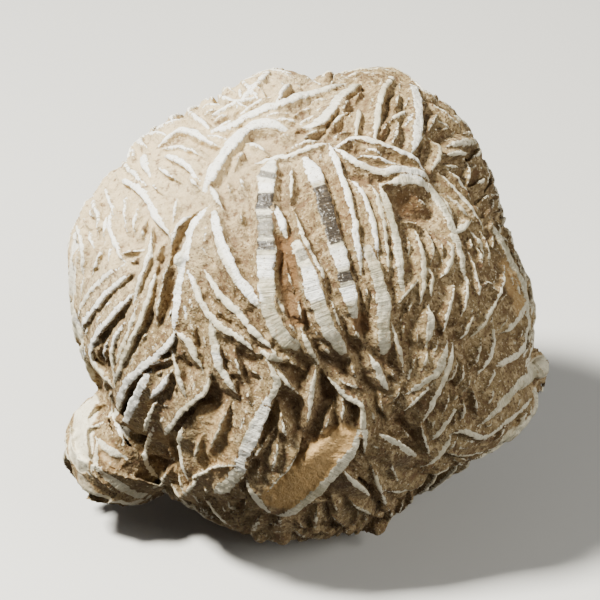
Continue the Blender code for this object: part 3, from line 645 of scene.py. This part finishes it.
class Stations:
    """The stations of all the blades, with a tree that finds the nearest."""

    def __init__(self, blades):
        for name in ("top", "outward", "along", "half", "place"):
            setattr(self, name, np.concatenate([getattr(blade, name) for blade in blades]))
        self.across = np.cross(self.along, -self.outward)
        counts = [len(blade.top) for blade in blades]
        self.width = np.repeat([float(blade.width) for blade in blades], counts)
        self.lean = np.repeat([float(blade.lean) for blade in blades], counts)
        self.tree = KDTree(len(self.top))
        for i, place in enumerate(self.top):
            self.tree.insert(place, i)
        self.tree.balance()

    def near(self, points):
        """Each point's station, and how far the point is aside of, below and ahead of it."""
        nearest = np.array([self.tree.find(point)[1] for point in points])
        offset = points - self.top[nearest]
        aside = np.abs((offset * self.across[nearest]).sum(1))
        below = -(offset * self.outward[nearest]).sum(1)
        ahead = (offset * self.along[nearest]).sum(1)
        return nearest, aside, below, ahead


def growth_way(points, outward, off):
    """The direction in which blades grow at each point, turned off it by its own angle."""
    total = np.zeros_like(points)
    for centre, turn, reach, _ in CENTRES:
        away = points - centre
        weight = np.exp(-((np.linalg.norm(away, axis=1) / reach) ** 2))
        spoke = unit(away - (away * outward).sum(1)[:, None] * outward + 1e-9)
        turn = math.radians(turn) + off
        swung = spoke * np.cos(turn)[:, None] + np.cross(outward, spoke) * np.sin(turn)[:, None]
        total += weight[:, None] * swung
    return unit(total + 1e-9)


def growth_track(place, off, curl, sign, steps):
    """Places reached by growing from each start, one way or the other."""
    way = None
    track = []
    for step in range(steps):
        ahead = growth_way(place, outward_at(place), off + sign * curl * step)
        if way is None:
            ahead = ahead * sign
        else:
            ahead = ahead * np.where((ahead * way).sum(1) < 0, -1, 1)[:, None]
            ahead = unit(0.6 * way + 0.4 * ahead)
        way = ahead
        place = onto_crests(place + way * GROWTH_STEP, 1)
        track.append(place)
    return np.stack(track, axis=1)


def clear_stretch(line, clear):
    """The part of a line round its middle that is clear: nothing if its middle isn't."""
    middle = len(line) // 2
    blocked = np.flatnonzero(~clear)
    low = max(blocked[blocked <= middle], default=-1)
    high = min(blocked[blocked >= middle], default=len(line))
    return line[low + 1:high]


def grown_crests():
    """Crest lines that fill the far side up to the drawn ones, longest first: width, lean and line."""
    taken = [np.vstack([on_crests(spline(points, 1.0)) for _, _, points in CRESTS])]
    found = []
    for number, (count, shortest, longest, gap, swerve) in enumerate(PASSES):
        chance = np.random.RandomState(GROWTH_SEED + number)
        start = unit(chance.normal(size=(count * 2, 3)))
        start = start[start[:, 2] < HORIZON / MEAN_RADIUS][:count]
        start = onto_crests(start * 40, 5)
        off = np.radians(chance.uniform(-swerve, swerve, len(start)))
        curl = np.radians(chance.uniform(-MOST_CURL, MOST_CURL, len(start)))
        length = chance.uniform(0, 1, len(start)) ** 1.5 * (longest - shortest) + shortest
        broad = chance.uniform(0.5, 1.5, len(start))
        tilt = chance.uniform(0.3, 1.4, len(start))
        steps = int(longest / GROWTH_STEP / 2)
        onward, back = (growth_track(start, off, curl, sign, steps) for sign in (1, -1))
        for i, middle in enumerate(start):
            half = max(1, int(length[i] / GROWTH_STEP / 2))
            line = np.vstack([back[i, :half][::-1], middle, onward[i, :half]])
            clear = line[:, 2] < HORIZON + 1
            others = np.vstack(taken)
            others = others[np.linalg.norm(others - middle, axis=1) < longest / 2 + gap + 1]
            if len(others):
                clear &= np.linalg.norm(line[:, None] - others[None], axis=2).min(axis=1) > gap
            for way in (outward_at(line), unit(np.gradient(line, axis=0))):
                clear &= way @ way[half] > STRAIGHT_ENOUGH
            line = clear_stretch(line, clear)
            run = (len(line) - 1) * GROWTH_STEP
            if run < shortest:
                continue
            taken.append(line)
            leaning = min(CENTRES, key=lambda centre: np.linalg.norm(middle - centre[0]))[3]
            width = min(1.6, 0.14 + 0.05 * run * broad[i] + 0.14 * (2 - number))
            found.append((width, leaning * tilt[i], line))
    return found


def filling_crests(stations):
    """Short crest lines in the gaps of the showy side, along their neighbours there: width, lean, line."""
    count, shortest, longest, gap = FILLING
    chance = np.random.RandomState(GROWTH_SEED + 9)
    start = unit(chance.normal(size=(count * 3, 3)) + (0, 0, 0.3))
    start = onto_crests(start[start[:, 2] > 0.25][:count] * 40, 5)
    length = chance.uniform(0, 1, len(start)) ** 1.6 * (longest - shortest) + shortest
    swerve = np.radians(chance.uniform(-MOST_SWERVE, MOST_SWERVE, len(start)))
    tilt = chance.uniform(0.3, 1.0, len(start))
    broad = chance.uniform(0.8, 1.4, len(start))
    sunk = chance.uniform(0.0, 0.55, len(start))
    added = []
    found = []
    for i, middle in enumerate(start):
        u, v = middle[:2] / (1 - middle[2] / STATION)
        clearance = gap + max(more * math.exp(-(math.hypot(u - at, v - height) / spread) ** 2)
                              for at, height, spread, more in BARE)
        near = stations.tree.find_n(middle, NEIGHBOURS)
        if near[0][2] < clearance:
            continue
        index = np.array([entry[1] for entry in near])
        weight = np.exp(-((np.array([entry[2] for entry in near]) / 4) ** 2))
        way = stations.along[index] * np.sqrt(weight)[:, None]
        way = np.linalg.eigh(way.T @ way)[1][:, -1]
        normal = outward_at(middle[None])[0]
        way = way * math.cos(swerve[i]) + np.cross(normal, way) * math.sin(swerve[i])
        way = way * (1 if way[1] < 0 else -1)
        facing = stations.along[index[0]] @ way
        reach = np.arange(-length[i] / 2, length[i] / 2 + 0.3, GROWTH_STEP)
        line = onto_crests(middle + reach[:, None] * way, 2)
        clear = np.array([stations.tree.find(point)[2] for point in line]) > clearance * LINE_ROOM
        outward = outward_at(line)
        clear &= outward @ outward[len(line) // 2] > STRAIGHT_ENOUGH
        if added:
            others = np.vstack(added)
            clear &= np.linalg.norm(line[:, None] - others[None], axis=2).min(axis=1) > clearance * LINE_ROOM
        line = clear_stretch(line, clear)
        run = (len(line) - 1) * GROWTH_STEP
        if run < shortest:
            continue
        added.append(line)
        width = min(0.55, (0.18 + 0.05 * run) * broad[i])
        lean = stations.lean[index[0]] * tilt[i] * math.copysign(1, facing)
        found.append((width, lean, line - normal * sunk[i]))
    return found


def all_blades():
    drawn = [(width, lean, on_crests(spline(points, STATION_SPACING))) for width, lean, points in CRESTS]
    blades = [Blade(line, width, lean) for width, lean, line in drawn + grown_crests()]
    return blades + [Blade(line, width, lean) for width, lean, line in filling_crests(Stations(blades))]


# The sandy body


def sand_depth(points):
    u, v = points[:, 0], points[:, 1]
    facing = np.clip(points[:, 2] / 10, 0, 1)
    dome = np.exp(-(np.hypot(u - 4, v - 6) ** 2) / (2 * 12**2))
    foot = np.clip((-5 - v) / 20, 0, 1)
    fill = sum(less * np.exp(-(np.hypot(u - at, v - height) ** 2) / (2 * spread**2))
               for (at, height), spread, less in SHALLOWS)
    height = points @ LAYOUT_AXES[:, 2] + CENTRE_HEIGHT
    packed = np.clip(height / PACKED_HEIGHT, 0, 1)
    return (SAND_DEPTH + facing * (FOOT_SAND * foot - DOME_SAND * dome - fill)) * packed


KNOB_PLACES = on_crests([(u, v) for u, v, _ in KNOBS])
KNOB_PLACES = KNOB_PLACES - outward_at(KNOB_PLACES) * KNOB_SUNK
HOLLOW_PLACES = on_crests([(u, v) for u, v, _, _ in HOLLOWS])
HOLLOW_WAYS = -outward_at(HOLLOW_PLACES)
FACE_STARTS = on_crests([start for start, *_ in FACES])
FACE_ENDS = on_crests([end for _, end, *_ in FACES])


def knob_field(points):
    nearest = np.full(len(points), 9.0)
    for (_, _, radius), place in zip(KNOBS, KNOB_PLACES):
        nearest = np.minimum(nearest, np.linalg.norm(points - place, axis=1) - radius)
    return nearest


def hollow_cut(points):
    """How much the hollows lower the body at each point."""
    cut = np.zeros(len(points))
    for (_, _, radius, depth), place, way in zip(HOLLOWS, HOLLOW_PLACES, HOLLOW_WAYS):
        offset = points - place
        sunk = offset @ way
        aside = np.linalg.norm(offset - sunk[:, None] * way, axis=1)
        near = np.exp(-((aside / radius) ** 2)) * (sunk < depth + 4) * (sunk > -6)
        cut = np.maximum(cut, depth * near)
    return cut


def faces_at(points):
    """How much each point is in a petal's broad face, and the face's depth, smoothness and bareness."""
    share, depth, smooth, bare = np.zeros((4, len(points)))
    for (_, _, radius, low, even, naked), start, end in zip(FACES, FACE_STARTS, FACE_ENDS):
        way = end - start
        t = np.clip(((points - start) @ way) / (way @ way), 0, 1)
        away = np.linalg.norm(points - start - t[:, None] * way, axis=1)
        here = smooth_step(radius + 1.0, radius, away)
        depth = np.where(here > share, low, depth)
        share = np.maximum(share, here)
        smooth = np.maximum(smooth, here * even)
        bare = np.maximum(bare, here * naked)
    return share, depth, smooth, bare


def body_field(points):
    share, low, _, _ = faces_at(points)
    depth = sand_depth(points)
    return over_crests(points) + depth + share * (low - depth) + hollow_cut(points)


# Distance fields on grids, and the mesh taken from them


def spread_out(values, axes, low, spacing, smooth):
    """Values on a coarse lattice, interpolated over a finer grid one axis at a time."""
    for dimension, axis in enumerate(axes):
        place = (axis - low[dimension]) / spacing
        cell = np.floor(place).astype(int)
        t = (place - cell).astype(np.float32)
        t = t * t * (3 - 2 * t) if smooth else t
        t = t.reshape([-1 if d == dimension else 1 for d in range(3)])
        values = np.take(values, cell, dimension) * (1 - t) + np.take(values, cell + 1, dimension) * t
    return values


def lattice_noise(seed, axes, spacing):
    """Smooth noise between -1 and 1 that is the same in every piece."""
    size = int(LATTICE_SIZE / spacing) + 3
    values = np.random.RandomState(seed).uniform(-1, 1, (size, size, size)).astype(np.float32)
    return spread_out(values, axes, (LATTICE_START,) * 3, spacing, True)


def coarse_field(function, axes, low, spacing=COARSE_SPACING):
    """A smooth field worked out on a coarse grid and spread over a fine one."""
    coarse = [np.arange(start, axis[-1] + 2 * spacing, spacing) for start, axis in zip(low, axes)]
    points = np.stack(np.meshgrid(*coarse, indexing="ij"), axis=-1)
    values = function(points.reshape(-1, 3)).reshape(points.shape[:3]).astype(np.float32)
    return spread_out(values, axes, low, spacing, False)


def soft_min(a, b, blend):
    mix = np.clip(0.5 + 0.5 * (b - a) / blend, 0, 1)
    return b + (a - b) * mix - blend * mix * (1 - mix)


def lay_out(blades):
    """All the blades' lofts as one list of points and one of quads."""
    points, quads, base = [], [], 0
    for blade in blades:
        corners, faces = blade.loft()
        points.append(corners)
        quads.append(faces + base)
        base += len(corners)
    return np.vstack(points), np.vstack(quads)


def grow(lofts, u_range, w_range, cell):
    """The rose between two pairs of planes, as points and quads in layout millimetres."""
    starts, ends = np.transpose([u_range, V_RANGE, w_range])
    low = np.maximum(starts - OVERLAP, ROOM[0]) - 2 * cell
    high = np.minimum(ends + OVERLAP, ROOM[1]) + 2 * cell
    counts = np.ceil((high - low) / cell).astype(int) + 1
    axes = [low[d] + cell * np.arange(counts[d]) for d in range(3)]
    points, quads = lofts
    grid = openvdb.FloatGrid.createLevelSetFromPolygons(
        ((points - low) / cell).astype(np.float32), quads=quads.astype(np.uint32),
        transform=openvdb.createLinearTransform(1.0), halfWidth=BAND,
    )
    plates = np.empty(counts, np.float32)
    grid.copyToArray(plates)
    plates *= cell
    corner = np.floor(low / COARSE_SPACING) * COARSE_SPACING
    body = coarse_field(body_field, axes, corner)
    under = coarse_field(lambda at: smooth_step(0.2, 0.9, -over_crests(at)), axes, corner)
    body = soft_min(body, coarse_field(knob_field, axes, corner, COARSE_SPACING / 2), KNOB_BLEND)
    rough = sum(size * lattice_noise(seed, axes, spacing) for seed, spacing, size in ROUGHNESS)
    rough *= 1 - FACE_SMOOTHING * coarse_field(lambda at: faces_at(at)[2], axes, corner)
    body += rough
    pits = PITTING * lattice_noise(4, axes, PIT_SPACING)
    plates += rough * (PLATE_ROUGHNESS + SANDY_ROUGHNESS * under) + pits
    whole = soft_min(body, plates, FILLET)
    height = [axis * LAYOUT_AXES[d, 2] for d, axis in enumerate(axes)]
    floor = height[0][:, None, None] + height[1][None, :, None] + height[2][None, None, :] + CENTRE_HEIGHT
    whole = np.maximum(whole, -floor.astype(np.float32))
    for d, (start, end) in ((0, u_range), (2, w_range)):
        beyond = np.maximum(axes[d] - end, start - axes[d]).astype(np.float32)
        beyond = beyond.reshape([-1 if d == dimension else 1 for dimension in range(3)])
        whole = np.maximum(whole + SUNK * np.clip(beyond / OVERLAP * 2, 0, 1), beyond - OVERLAP)
    limit = BAND * cell
    joined = openvdb.FloatGrid(limit)
    joined.copyFromArray(np.clip(whole, -limit, limit))
    corners, triangles, quads = joined.convertToPolygons(0.0, MERGE)
    triangles = np.pad(triangles, ((0, 0), (0, 1)), "edge")
    return keep_largest(corners * cell + low, np.vstack([quads, triangles]))


def edges_of(quads):
    edges = np.concatenate([quads[:, [i, (i + 1) % 4]] for i in range(4)])
    return edges[edges[:, 0] != edges[:, 1]]


def keep_largest(points, quads):
    """Drops the sealed pockets and loose crumbs. A triangle is a quad whose last corner is doubled."""
    label = np.arange(len(points))
    edges = edges_of(quads)
    while True:
        smaller = np.minimum(label[edges[:, 0]], label[edges[:, 1]])
        before = label.copy()
        np.minimum.at(label, edges[:, 0], smaller)
        np.minimum.at(label, edges[:, 1], smaller)
        label = label[label]
        if (before == label).all():
            break
    names, counts = np.unique(label, return_counts=True)
    keep = label == names[counts.argmax()]
    number = np.cumsum(keep) - 1
    return points[keep], number[quads[keep[quads[:, 0]]]]


def vertex_normals(points, quads):
    corner = points[quads]
    face = np.cross(corner[:, 2] - corner[:, 0], corner[:, 3] - corner[:, 1])
    normals = np.zeros_like(points)
    for i in range(4):
        for d in range(3):
            normals[:, d] += np.bincount(quads[:, i], face[:, d], len(points))
    return unit(normals + 1e-12)


def neighbour_mean(values, quads, count):
    """The mean over each point's neighbours."""
    edges = edges_of(quads)
    degree = np.bincount(edges[:, 0], minlength=count) + np.bincount(edges[:, 1], minlength=count)
    total = np.bincount(edges[:, 0], values[edges[:, 1]], count)
    total += np.bincount(edges[:, 1], values[edges[:, 0]], count)
    return total / degree


# Fields that the material reads


def stroke_field(points, strokes):
    """Strength of the given strokes on the showy side at each point. Their ends are cut off square."""
    total = np.zeros(len(points))
    flat = points[:, :2] / (1 - points[:, 2] / STATION)[:, None]
    front = points[:, 2] > 5
    for start, end, radius, strength in strokes:
        start, end = np.array(start), np.array(end)
        length = np.linalg.norm(end - start)
        way = (end - start) / length
        ahead = (flat - start) @ way
        aside = np.abs((flat - start) @ (way[1], -way[0]))
        past = np.maximum(-ahead, ahead - length)
        here = smooth_step(radius + 0.25, radius - 0.25, aside) * smooth_step(0.35, -0.35, past)
        total = np.maximum(total, strength * here * front)
    return total


def hollowness(points, quads, normals, cell):
    """How hollow the surface is at each point, from its bend and from the drawn hollows; the material paints
    shade in the sand with it.
    """
    count = len(points)
    mean = np.stack([neighbour_mean(points[:, d], quads, count) for d in range(3)], axis=1)
    bend = ((mean - points) * normals).sum(1) / cell
    for _ in range(round(2 / cell)):
        bend = neighbour_mean(bend, quads, count)
    hollow = smooth_step(0.03, 0.2, bend) * 0.6 + smooth_step(1.0, 3.5, hollow_cut(points)) * 0.6
    return np.clip(hollow, 0, 1)


def dress(points, quads, cell, seed, stations):
    """The points with grains of sand raised on them, and the fields that the material reads."""
    nearest, aside, below, ahead = stations.near(points)
    rim = smooth_step(*RIM_EDGE, aside - stations.half[nearest]) * smooth_step(*RIM_FOOT, below)
    rim = rim * smooth_step(*RIM_END, np.abs(ahead))
    # How far under the crests a point lies: the material paints shade in the sand with it
    deep = smooth_step(0.5, 3.2, -over_crests(points))
    normals = vertex_normals(points, quads)
    # the material paints shade in creases and drawn hollows with this
    hollow = hollowness(points, quads, normals, cell)
    grain = np.random.RandomState(seed).uniform(-1, 1, len(points))
    points = points + normals * (grain * GRAIN * (1 - rim))[:, None]
    width = stations.width[nearest]
    _, _, face, bare = faces_at(points)
    rim = rim * np.interp(width, DUSTY, (MOST_DUST, 1))
    fields = {
        # rims less white towards the bottom
        "rim": rim * (1 - RIM_FADE_AT_FOOT * smooth_step(*RIM_FADE_HEIGHTS, points[:, 1])),
        "bare": bare,
        "face": face * (1 - bare),
        "deep": deep,
        "hollow": hollow,
        "along": stations.place[nearest] + ahead,
        "wide": smooth_step(0.7, 1.6, width),
        "clear": stroke_field(points, CLEAR),
        "white": stroke_field(points, WHITE),
        # lighter on the shoulder facing the key light: chalkier there, and partly a painted highlight
        "pale": smooth_step(*CHALK_AND_HIGHLIGHT_REACH, unit(points) @ CHALK_AND_HIGHLIGHT_WAY),
        "stain": stroke_field(points, STAINS),
    }
    return points, fields


# The material


class Value:
    """A number that a node gives, which can be reckoned with."""

    def __init__(self, nodes, socket):
        self.nodes = nodes
        self.socket = socket

    def __add__(self, other):
        return self.nodes.maths("ADD", self, other)

    def __sub__(self, other):
        return self.nodes.maths("SUBTRACT", self, other)

    def __mul__(self, other):
        return self.nodes.maths("MULTIPLY", self, other)


class Nodes:
    """A short way to write a node tree."""

    def __init__(self, material):
        self.tree = material.node_tree

    def add(self, kind, inputs=None, **settings):
        node = self.tree.nodes.new(kind)
        for name, value in settings.items():
            setattr(node, name, value)
        for name, value in (inputs or {}).items():
            value = value.socket if isinstance(value, Value) else value
            if isinstance(value, bpy.types.NodeSocket):
                self.tree.links.new(value, node.inputs[name])
            else:
                node.inputs[name].default_value = value
        return node

    def field(self, name):
        return Value(self, self.add("ShaderNodeAttribute", attribute_name=name).outputs["Fac"])

    def maths(self, operation, a, b):
        return Value(self, self.add("ShaderNodeMath", {0: a, 1: b}, operation=operation).outputs[0])

    def ramp(self, value, low, high, start=0.0, end=1.0):
        inputs = {"Value": value, "From Min": low, "From Max": high, "To Min": start, "To Max": end}
        return Value(self, self.add("ShaderNodeMapRange", inputs, interpolation_type="SMOOTHSTEP").outputs[0])

    def mix(self, share, first, second):
        return self.add("ShaderNodeMix", {0: share, 6: first, 7: second}, data_type="RGBA").outputs[2]

    def paint(self, ground, layers):
        """The ground with each layer's colour laid over it by its share."""
        for share, tint in layers:
            ground = self.mix(share, ground, tint)
        return ground

    def noise(self, where, scale, detail, roughness=0.55):
        inputs = {"Vector": where, "Scale": scale, "Detail": detail, "Roughness": roughness}
        return Value(self, self.add("ShaderNodeTexNoise", inputs).outputs["Fac"])


def colour(red, green, blue):
    """A colour given in sRGB from 0 to 255."""
    linear = [((c / 255 + 0.055) / 1.055) ** 2.4 if c > 10 else c / 255 / 12.92 for c in (red, green, blue)]
    return (*linear, 1.0)


def sand_colour(n, patches, clumps, grains):
    """Pale and dark grains on tan sand, lighter on the shoulder facing the key light with chalkier sand and a
    painted highlight, and browner and darker with painted shade deep under the crests and in the hollows.
    """
    deep, hollow, stain, pale, face = map(n.field, ("deep", "hollow", "stain", "pale", "face"))
    sand = n.mix(n.ramp(patches, 0.35, 0.65), colour(108, 87, 56), colour(136, 116, 80))
    return n.paint(sand, [
        (n.ramp(clumps, 0.45, 0.7), colour(176, 153, 114)),
        # lighter on the shoulder facing the key light: chalkier sand and a painted highlight
        (pale * 0.8, colour(214, 194, 156)),
        (n.ramp(grains, 0.6, 0.71), colour(212, 196, 166)),
        (n.ramp(grains, 0.46, 0.35) * n.ramp(pale, 0.0, 1.0, 1.0, 0.25), colour(84, 60, 41)),
        (n.ramp(clumps, 0.45, 0.32) * 0.75, colour(98, 72, 48)),
        # painted shade: browner deeper under the crests
        (deep * n.ramp(patches, 0.3, 0.7, 0.6, 1.0) * 0.7, colour(104, 76, 50)),
        (stain * n.ramp(clumps, 0.3, 0.6, 0.5, 1.0), colour(104, 71, 37)),
        (face * 0.75, colour(200, 160, 104)),
        # painted shade: dark brown in creases and in the drawn hollows
        (hollow * 0.8, colour(58, 42, 30)),
    ])


def rim_colour(n, patches, clumps, grains, lines):
    """Cream gypsum with fine lines across it, chalky here and grey-brown and clear there, and whiter on the
    shoulder facing the key light, partly as a painted highlight.
    """
    wide, clear, white, pale = map(n.field, ("wide", "clear", "white", "pale"))
    glassy = n.mix(n.ramp(lines, 0.5, 0.7), colour(54, 46, 37), colour(92, 81, 67))
    glassy = n.mix(n.ramp(grains, 0.62, 0.7), glassy, colour(190, 184, 170))
    patchy = clear + (clumps - 0.5) * 0.9
    ridged = wide * n.ramp(lines, 0.62, 0.4) * n.ramp(patches, 0.35, 0.6, 0.3, 0.8)
    cream = n.mix(n.ramp(patches, 0.4, 0.7), colour(220, 211, 186), colour(184, 172, 142))
    return n.paint(cream, [
        (ridged * n.ramp(white, 0.0, 1.0, 1.0, 0.35), colour(140, 134, 110)),
        # chalky white stretches, and a painted highlight on the shoulder facing the key light
        (n.maths("MAXIMUM", white * 0.9, pale * 0.8), colour(243, 241, 234)),
        (n.ramp(grains, 0.42, 0.34) * 0.7, colour(150, 126, 96)),
        (n.ramp(patchy, 0.35, 0.6) * n.ramp(clear, 0.0, 0.9), glassy),
    ])


def gypsum_material():
    material = bpy.data.materials.new("gypsum")
    material.use_nodes = True
    n = Nodes(material)
    surface = n.tree.nodes["Principled BSDF"]
    where = n.add("ShaderNodeTexCoord").outputs["Object"]
    patches = n.noise(where, 170.0, 4.0)
    clumps = n.noise(where, 800.0, 3.0, 0.6)
    grains = n.noise(where, 2300.0, 2.0, 0.7)
    rim, bare, along, wide, clear = map(n.field, ("rim", "bare", "along", "wide", "clear"))

    line_place = n.add("ShaderNodeCombineXYZ", {"X": along * 2.6}).outputs[0]
    lines = n.noise(line_place, 1.0, 2.5, 0.7) + (clumps - 0.5) * 0.7
    uneven = clumps + (grains + patches * 0.4) - 1.2
    edge = n.ramp(rim + uneven * 1.1, 0.36, 0.52)
    edge = n.maths("MAXIMUM", edge, n.ramp(bare + uneven * 0.3, 0.1, 0.7))
    tint = n.mix(edge, sand_colour(n, patches, clumps, grains), rim_colour(n, patches, clumps, grains, lines))
    n.tree.links.new(tint, surface.inputs["Base Color"])

    rough = n.ramp(edge, 0.0, 1.0, 0.95, 0.62) - clear * edge * 0.3
    n.tree.links.new(rough.socket, surface.inputs["Roughness"])
    surface.inputs["Specular IOR Level"].default_value = 0.4
    relief = (grains + clumps * 1.8) * n.ramp(edge, 0.0, 1.0, 1.0, 0.35) + lines * edge * wide
    bump = n.add("ShaderNodeBump", {"Height": relief, "Strength": 0.8, "Distance": 0.0003})
    n.tree.links.new(bump.outputs["Normal"], surface.inputs["Normal"])
    return material


# The scene


def build_piece(name, points, quads, fields, material):
    mesh = bpy.data.meshes.new(name)
    faces = [quad[:3] if quad[2] == quad[3] else quad for quad in quads.tolist()]
    mesh.from_pydata(to_world(points), [], faces)
    mesh.shade_smooth()
    for field, values in fields.items():
        layer = mesh.attributes.new(field, "FLOAT", "POINT")
        layer.data.foreach_set("value", values.astype(np.float32))
    mesh.materials.append(material)
    piece = bpy.data.objects.new(name, mesh)
    bpy.context.scene.collection.objects.link(piece)
    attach(piece, "root")
    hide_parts("sand_rose")


def rose():
    blades = all_blades()
    lofts = lay_out(blades)
    stations = Stations(blades)
    material = gypsum_material()
    for number, (name, u_start, u_end, w_start, w_end, cell) in enumerate(PIECES):
        points, quads = grow(lofts, (u_start, u_end), (w_start, w_end), cell)
        points, fields = dress(points, quads, cell, number, stations)
        build_piece(name, points, quads, fields, material)


def lamp(name, place, size, watts, tint):
    """A square lamp at a place in the layout's metres, turned to the ball."""
    middle = Vector((0, 0, CENTRE_HEIGHT / 1000))
    data = bpy.data.lights.new(name, "AREA")
    data.energy = watts
    data.size = size
    data.color = tint
    thing = bpy.data.objects.new(name, data)
    thing.location = middle + Vector(np.array(place) @ LAYOUT_AXES)
    thing.rotation_euler = (middle - thing.location).to_track_quat("-Z", "Y").to_euler()
    bpy.context.scene.collection.objects.link(thing)


def camera_and_lights():
    camera = bpy.data.cameras.new("camera")
    camera.sensor_width = 36
    camera.lens = camera.sensor_width * STATION / VIEW_WIDTH
    camera.clip_start = 0.01
    viewer = bpy.data.objects.new("camera", camera)
    bpy.context.scene.collection.objects.link(viewer)
    viewer.location = Vector((0, 0, CENTRE_HEIGHT / 1000)) + Vector(LAYOUT_AXES[2]) * (STATION / 1000)
    viewer.rotation_euler = Matrix(LAYOUT_AXES.tolist()).transposed().to_euler()
    bpy.context.scene.camera = viewer

    lamp("key", (-0.28, 0.37, 0.3), 0.1, 14.5, (1.0, 0.99, 0.91))
    lamp("fill", (0.4, 0.1, 0.35), 0.3, 2.1, (1.0, 1.0, 0.94))
    world = bpy.data.worlds.new("soft light")
    world.use_nodes = True
    world.node_tree.nodes["Background"].inputs["Color"].default_value = (0.95, 0.96, 1.0, 1)
    world.node_tree.nodes["Background"].inputs["Strength"].default_value = 0.12
    bpy.context.scene.world = world


def floor():
    """A plain pale floor that throws no light back up, so that the lower petals stay dark."""
    mesh = bpy.data.meshes.new("floor")
    half = 3.0
    corners = [(-half, -half, 0), (half, -half, 0), (half, half, 0), (-half, half, 0)]
    mesh.from_pydata(corners, [], [(0, 1, 2, 3)])
    material = bpy.data.materials.new("floor")
    material.use_nodes = True
    surface = material.node_tree.nodes["Principled BSDF"]
    surface.inputs["Base Color"].default_value = colour(205, 203, 199)
    surface.inputs["Roughness"].default_value = 0.8
    mesh.materials.append(material)
    thing = bpy.data.objects.new("floor", mesh)
    bpy.context.scene.collection.objects.link(thing)
    thing.visible_diffuse = False


camera_and_lights()
floor()
rose()
